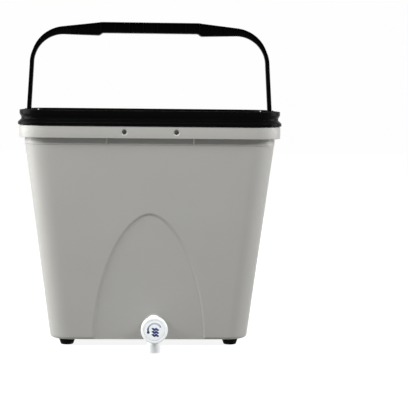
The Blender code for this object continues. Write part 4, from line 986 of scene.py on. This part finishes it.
def add_nut():
    """A six-sided nut, cut down by a cone near both faces and turned as the CAD's is. The hexagon's radius is
    its flat's distance over the cosine of the angle from the flat."""
    angle = np.linspace(0, 2 * np.pi, 96, endpoint=False)
    flat = NUT_RADIUS * math.cos(math.pi / 6)
    low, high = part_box("tap_nut")
    wide = (high[0] - low[0]) / 2 > (flat + NUT_RADIUS) / 2
    turn = math.pi / 6 if wide else 0
    hexagon = flat / np.cos((angle - turn + np.pi / 6) % (np.pi / 3) - np.pi / 6)
    middle = NUT_END + NUT_THICKNESS / 2
    half = NUT_THICKNESS / 2
    front = [(NUT_RADIUS, half - 0.0012), (flat + 0.0006, half - 0.0005), (flat - 0.0003, half),
             (SHANK_HOLE + 0.0005, half), (SHANK_HOLE, half - 0.0005)]
    back = [(radius, -distance) for radius, distance in front[::-1]]
    radius, distance = np.array(back + front).T
    radius = np.minimum(radius[:, None], hexagon)
    grid = np.stack([TAP_X + radius * np.cos(angle),
                     np.broadcast_to(SEAT_Y - middle - distance[:, None], radius.shape),
                     TAP_Z + radius * np.sin(angle)], axis=-1)
    add_piece("tap_nut_moulding", mesh_of("nut", shell(grid, wrap=True)), WHITE_ACETAL, "bin", "tap_nut")


def add_filter():
    """A cap that is slotted from top to bottom, open towards the shank."""
    outer = SHANK_HOLE + FILTER_WALL
    floor = FILTER_END + FILTER_WALL
    line = rounded([
        (0.003, floor, 0), (SHANK_HOLE, floor, 0.0005), (SHANK_HOLE, NUT_END - GAP, 0.0003),
        (outer, NUT_END - GAP, 0.0004), (outer, FILTER_END, 0.0008), (0.003, FILTER_END, 0),
    ])
    body = mesh_of("filter", turned(line, 56))
    slots = []
    for number in range(FILTER_SLOTS):
        y = SEAT_Y - floor - (number + 0.5) * FILTER_LENGTH * FILTER_SLOT_SHARE / FILTER_SLOTS
        slots.append(block((TAP_X - SHANK_HOLE, y - FILTER_SLOT, TAP_Z - outer - CUT_PAST),
                           (TAP_X + SHANK_HOLE, y, TAP_Z + outer + CUT_PAST), 0.0003))
    body = merged("filter", body, ("DIFFERENCE", slots))
    add_piece("tap_filter_moulding", body, DARK_PLASTIC, "bin", "tap_filter")


def add_valve():
    """The parts that turn: the plug with its two rings, the knob on its stem, and the cap with the print."""
    ring = RING_SECTION
    groove = PLUG_RADIUS - 2 * ring
    hollow = PLUG_RADIUS - PLUG_WALL
    seats = {"front": PLUG_END - RING_INSET, "back": PLUG_START + RING_INSET}
    floor = KNOB_FACE - CAP_THICKNESS
    under = floor - KNOB_WALL
    corners = [(0.002, under - GAP, 0), (STEM_RADIUS, under - GAP, 0.0004), (STEM_RADIUS, PLUG_END, 0.0003),
               (PLUG_RADIUS, PLUG_END, 0.0004)]
    for centre in seats.values():
        corners += [(PLUG_RADIUS, centre + ring + GAP, 0.0001), (groove, centre + ring + GAP, 0.0001),
                    (groove, centre - ring - GAP, 0.0001), (PLUG_RADIUS, centre - ring - GAP, 0.0001)]
    corners += [(PLUG_RADIUS, PLUG_START, 0.0003), (hollow, PLUG_START, 0.0003),
                (hollow, SPOUT_REACH + PLUG_PORT, 0.0005), (0.002, SPOUT_REACH + PLUG_PORT, 0)]
    body = mesh_of("plug", turned(rounded(corners, 3), 56))
    port = rod(PLUG_PORT, 0, 2 * PLUG_RADIUS, SPOUT, (1, 0, 0))
    body = merged("plug", body, ("DIFFERENCE", [port]))
    add_piece("valve_plug_moulding", body, WHITE_ACETAL, "valve", "valve_plug")

    angle = np.linspace(0, 2 * np.pi, 16, endpoint=False)
    thick = ring - GAP / 2
    for side, centre in seats.items():
        section = circle(angle, thick, (PLUG_RADIUS - thick, centre))
        mesh = mesh_of("o_ring", turned(section, 64, wrap=True))
        add_piece(f"plug_o_ring_{side}_rubber", mesh, SILICONE_RUBBER, "valve", f"plug_o_ring_{side}")

    hub = STEM_RADIUS + GAP
    line = rounded([
        (0.005, floor, 0), (CAP_RADIUS + GAP, floor, 0.0003), (CAP_RADIUS + GAP, KNOB_FACE, 0.0004),
        (KNOB_RADIUS, KNOB_FACE, 0.0026), (KNOB_RADIUS, KNOB_START, 0.0006),
        (KNOB_RADIUS - KNOB_WALL, KNOB_START, 0.0005), (KNOB_RADIUS - KNOB_WALL, under, 0.0006),
        (hub + KNOB_WALL, under, 0.0006), (hub + KNOB_WALL, PLUG_END + HUB_CLEARANCE, 0.0004),
        (hub, PLUG_END + HUB_CLEARANCE, 0.0003), (hub, under, 0.0002), (0.002, under, 0),
    ], 6)
    add_piece("tap_knob_moulding", mesh_of("knob", turned(line, 96)), WHITE_ACETAL, "valve", "tap_knob")
    face = KNOB_FACE - CAP_SINK
    line = rounded([(0.006, face, 0), (CAP_RADIUS, face, 0.0005), (CAP_RADIUS, floor + GAP, 0.0002),
                    (0.006, floor + GAP, 0)])
    add_piece("knob_cap_disc", mesh_of("cap", turned(line, 96)), WHITE_ACETAL, "valve", "knob_cap")
    add_print(face)


def add_print(face):
    """The knob's print: a turning arrow along an arc, and three stacked waves."""
    base, top = face - PRINT_SINK, face + PRINT_RISE
    angle = np.radians(np.linspace(*ARROW_TURN, 60))
    arc = circle(angle, ARROW_RADIUS, ARROW_MIDDLE)
    across, up = circle(np.linspace(0, 2 * np.pi, 36, endpoint=False), DOT_RADIUS, DOT_MIDDLE).T
    out = -np.array([base, top])[:, None] - DOT_PROUD
    dot = np.stack(np.broadcast_arrays(across, out, up), axis=-1) + TAP
    mesh = mesh_of("arrow", swept(arc, ARROW_STROKE, base, top), shell(dot))
    add_piece("knob_print_arrow", mesh, ARROW_INK, "valve", sharp=50)
    across = np.linspace(-WAVE_REACH, WAVE_REACH, 48)
    waves = []
    for height in WAVE_HEIGHTS:
        rise = height + WAVE_RISE * np.sin(across / WAVE_REACH * 2 * np.pi)
        waves.append(swept(np.column_stack([across + WAVE_MIDDLE, rise]), WAVE_STROKE, base, top))
    add_piece("knob_print_waves", mesh_of("waves", *waves), WAVE_INK, "valve", sharp=50)


# Floor, light and camera

def show_to_camera(tree, plain, seen, output):
    """Sends one shader to rays from the camera, gloss or glass, and the plain one to the rest."""
    path = add_node(tree, "LightPath").outputs
    found = path["Is Camera Ray"]
    for kind in ("Is Glossy Ray", "Is Transmission Ray"):
        found = add_node(tree, "Math", {0: found, 1: path[kind]}, operation="MAXIMUM").outputs[0]
    mix = add_node(tree, "MixShader", {"Fac": found, 1: plain, 2: seen})
    feed(tree.nodes[output], {"Surface": mix.outputs["Shader"]})


def add_floor():
    """A pale floor that keeps the bin's shadow and glows for the camera."""
    corners = np.array([(-1, -1, 0), (1, -1, 0), (1, 1, 0), (-1, 1, 0)]) * FLOOR_HALF
    mesh = mesh_of("floor", (corners, np.array([[0, 1, 2, 3]]), np.empty((0, 3), int)))
    linked("floor", mesh)
    material = bpy.data.materials.new("pale_painted_floor")
    material.use_nodes = True
    tree = material.node_tree
    tree.nodes.remove(tree.nodes["Principled BSDF"])
    paint = add_node(tree, "BsdfDiffuse", {"Color": linear("#8a8a8a")}).outputs["BSDF"]
    place = add_node(tree, "TexCoord").outputs["Object"]
    away = add_node(tree, "VectorMath", {0: place}, operation="LENGTH").outputs["Value"]
    strength = ranged(tree, away, FLOOR_GLOW_NEAR, WHITE_GLOW, FLOOR_NEAR, FLOOR_FAR)
    glow = add_node(tree, "Emission", {"Color": (1, 1, 1, 1), "Strength": strength}).outputs["Emission"]
    lit = add_node(tree, "AddShader", {0: paint, 1: glow}).outputs["Shader"]
    show_to_camera(tree, paint, lit, "Material Output")
    mesh.materials.append(material)


def add_world():
    """A world that gives little light and is white for the camera."""
    world = bpy.data.worlds.new("studio")
    bpy.context.scene.world = world
    world.use_nodes = True
    tree = world.node_tree
    plain = tree.nodes["Background"]
    feed(plain, {"Color": (1, 1, 1, 1), "Strength": WORLD_LIGHT})
    white = add_node(tree, "Background", {"Color": (1, 1, 1, 1), "Strength": WHITE_GLOW})
    show_to_camera(tree, plain.outputs["Background"], white.outputs["Background"], "World Output")


def add_lamp(name, place, aim, width, height, power):
    """A soft rectangular lamp that looks from its place at a height above the bin's middle."""
    data = bpy.data.lights.new(name, "AREA")
    data.shape = "RECTANGLE"
    data.size, data.size_y = width, height
    data.energy = power
    lamp = linked(name, data)
    lamp.location = place
    way = np.array((0, 0, aim)) - np.array(place)
    down = math.acos(-way[2] / np.linalg.norm(way))
    lamp.rotation_euler = (down, 0, math.atan2(way[1], way[0]) - math.pi / 2)


def add_camera():
    """The camera, turned and tilted about its own place."""
    data = bpy.data.cameras.new("camera")
    data.sensor_width = CAMERA_FRAME
    data.lens = CAMERA_LENS
    camera = linked("camera", data)
    side = math.radians(CAMERA_AZIMUTH)
    place = (CAMERA_BACK * math.sin(side), FRAME_Y - CAMERA_BACK * math.cos(side), CAMERA_HEIGHT)
    camera.matrix_world = (Matrix.Translation(place) @ Matrix.Rotation(math.radians(-CAMERA_RIGHT), 4, "Z")
                           @ Matrix.Rotation(math.radians(90 - CAMERA_DOWN), 4, "X")
                           @ Matrix.Rotation(math.radians(CAMERA_TILT), 4, "Z"))
    bpy.context.scene.camera = camera


add_camera()
add_floor()
add_world()
for lamp_values in LAMPS:
    add_lamp(*lamp_values)
add_bucket()
add_feet()
add_lid()
add_handle()
add_plate()
add_tap()
add_nut()
add_filter()
add_valve()
bpy.context.scene.view_settings.view_transform = "Standard"
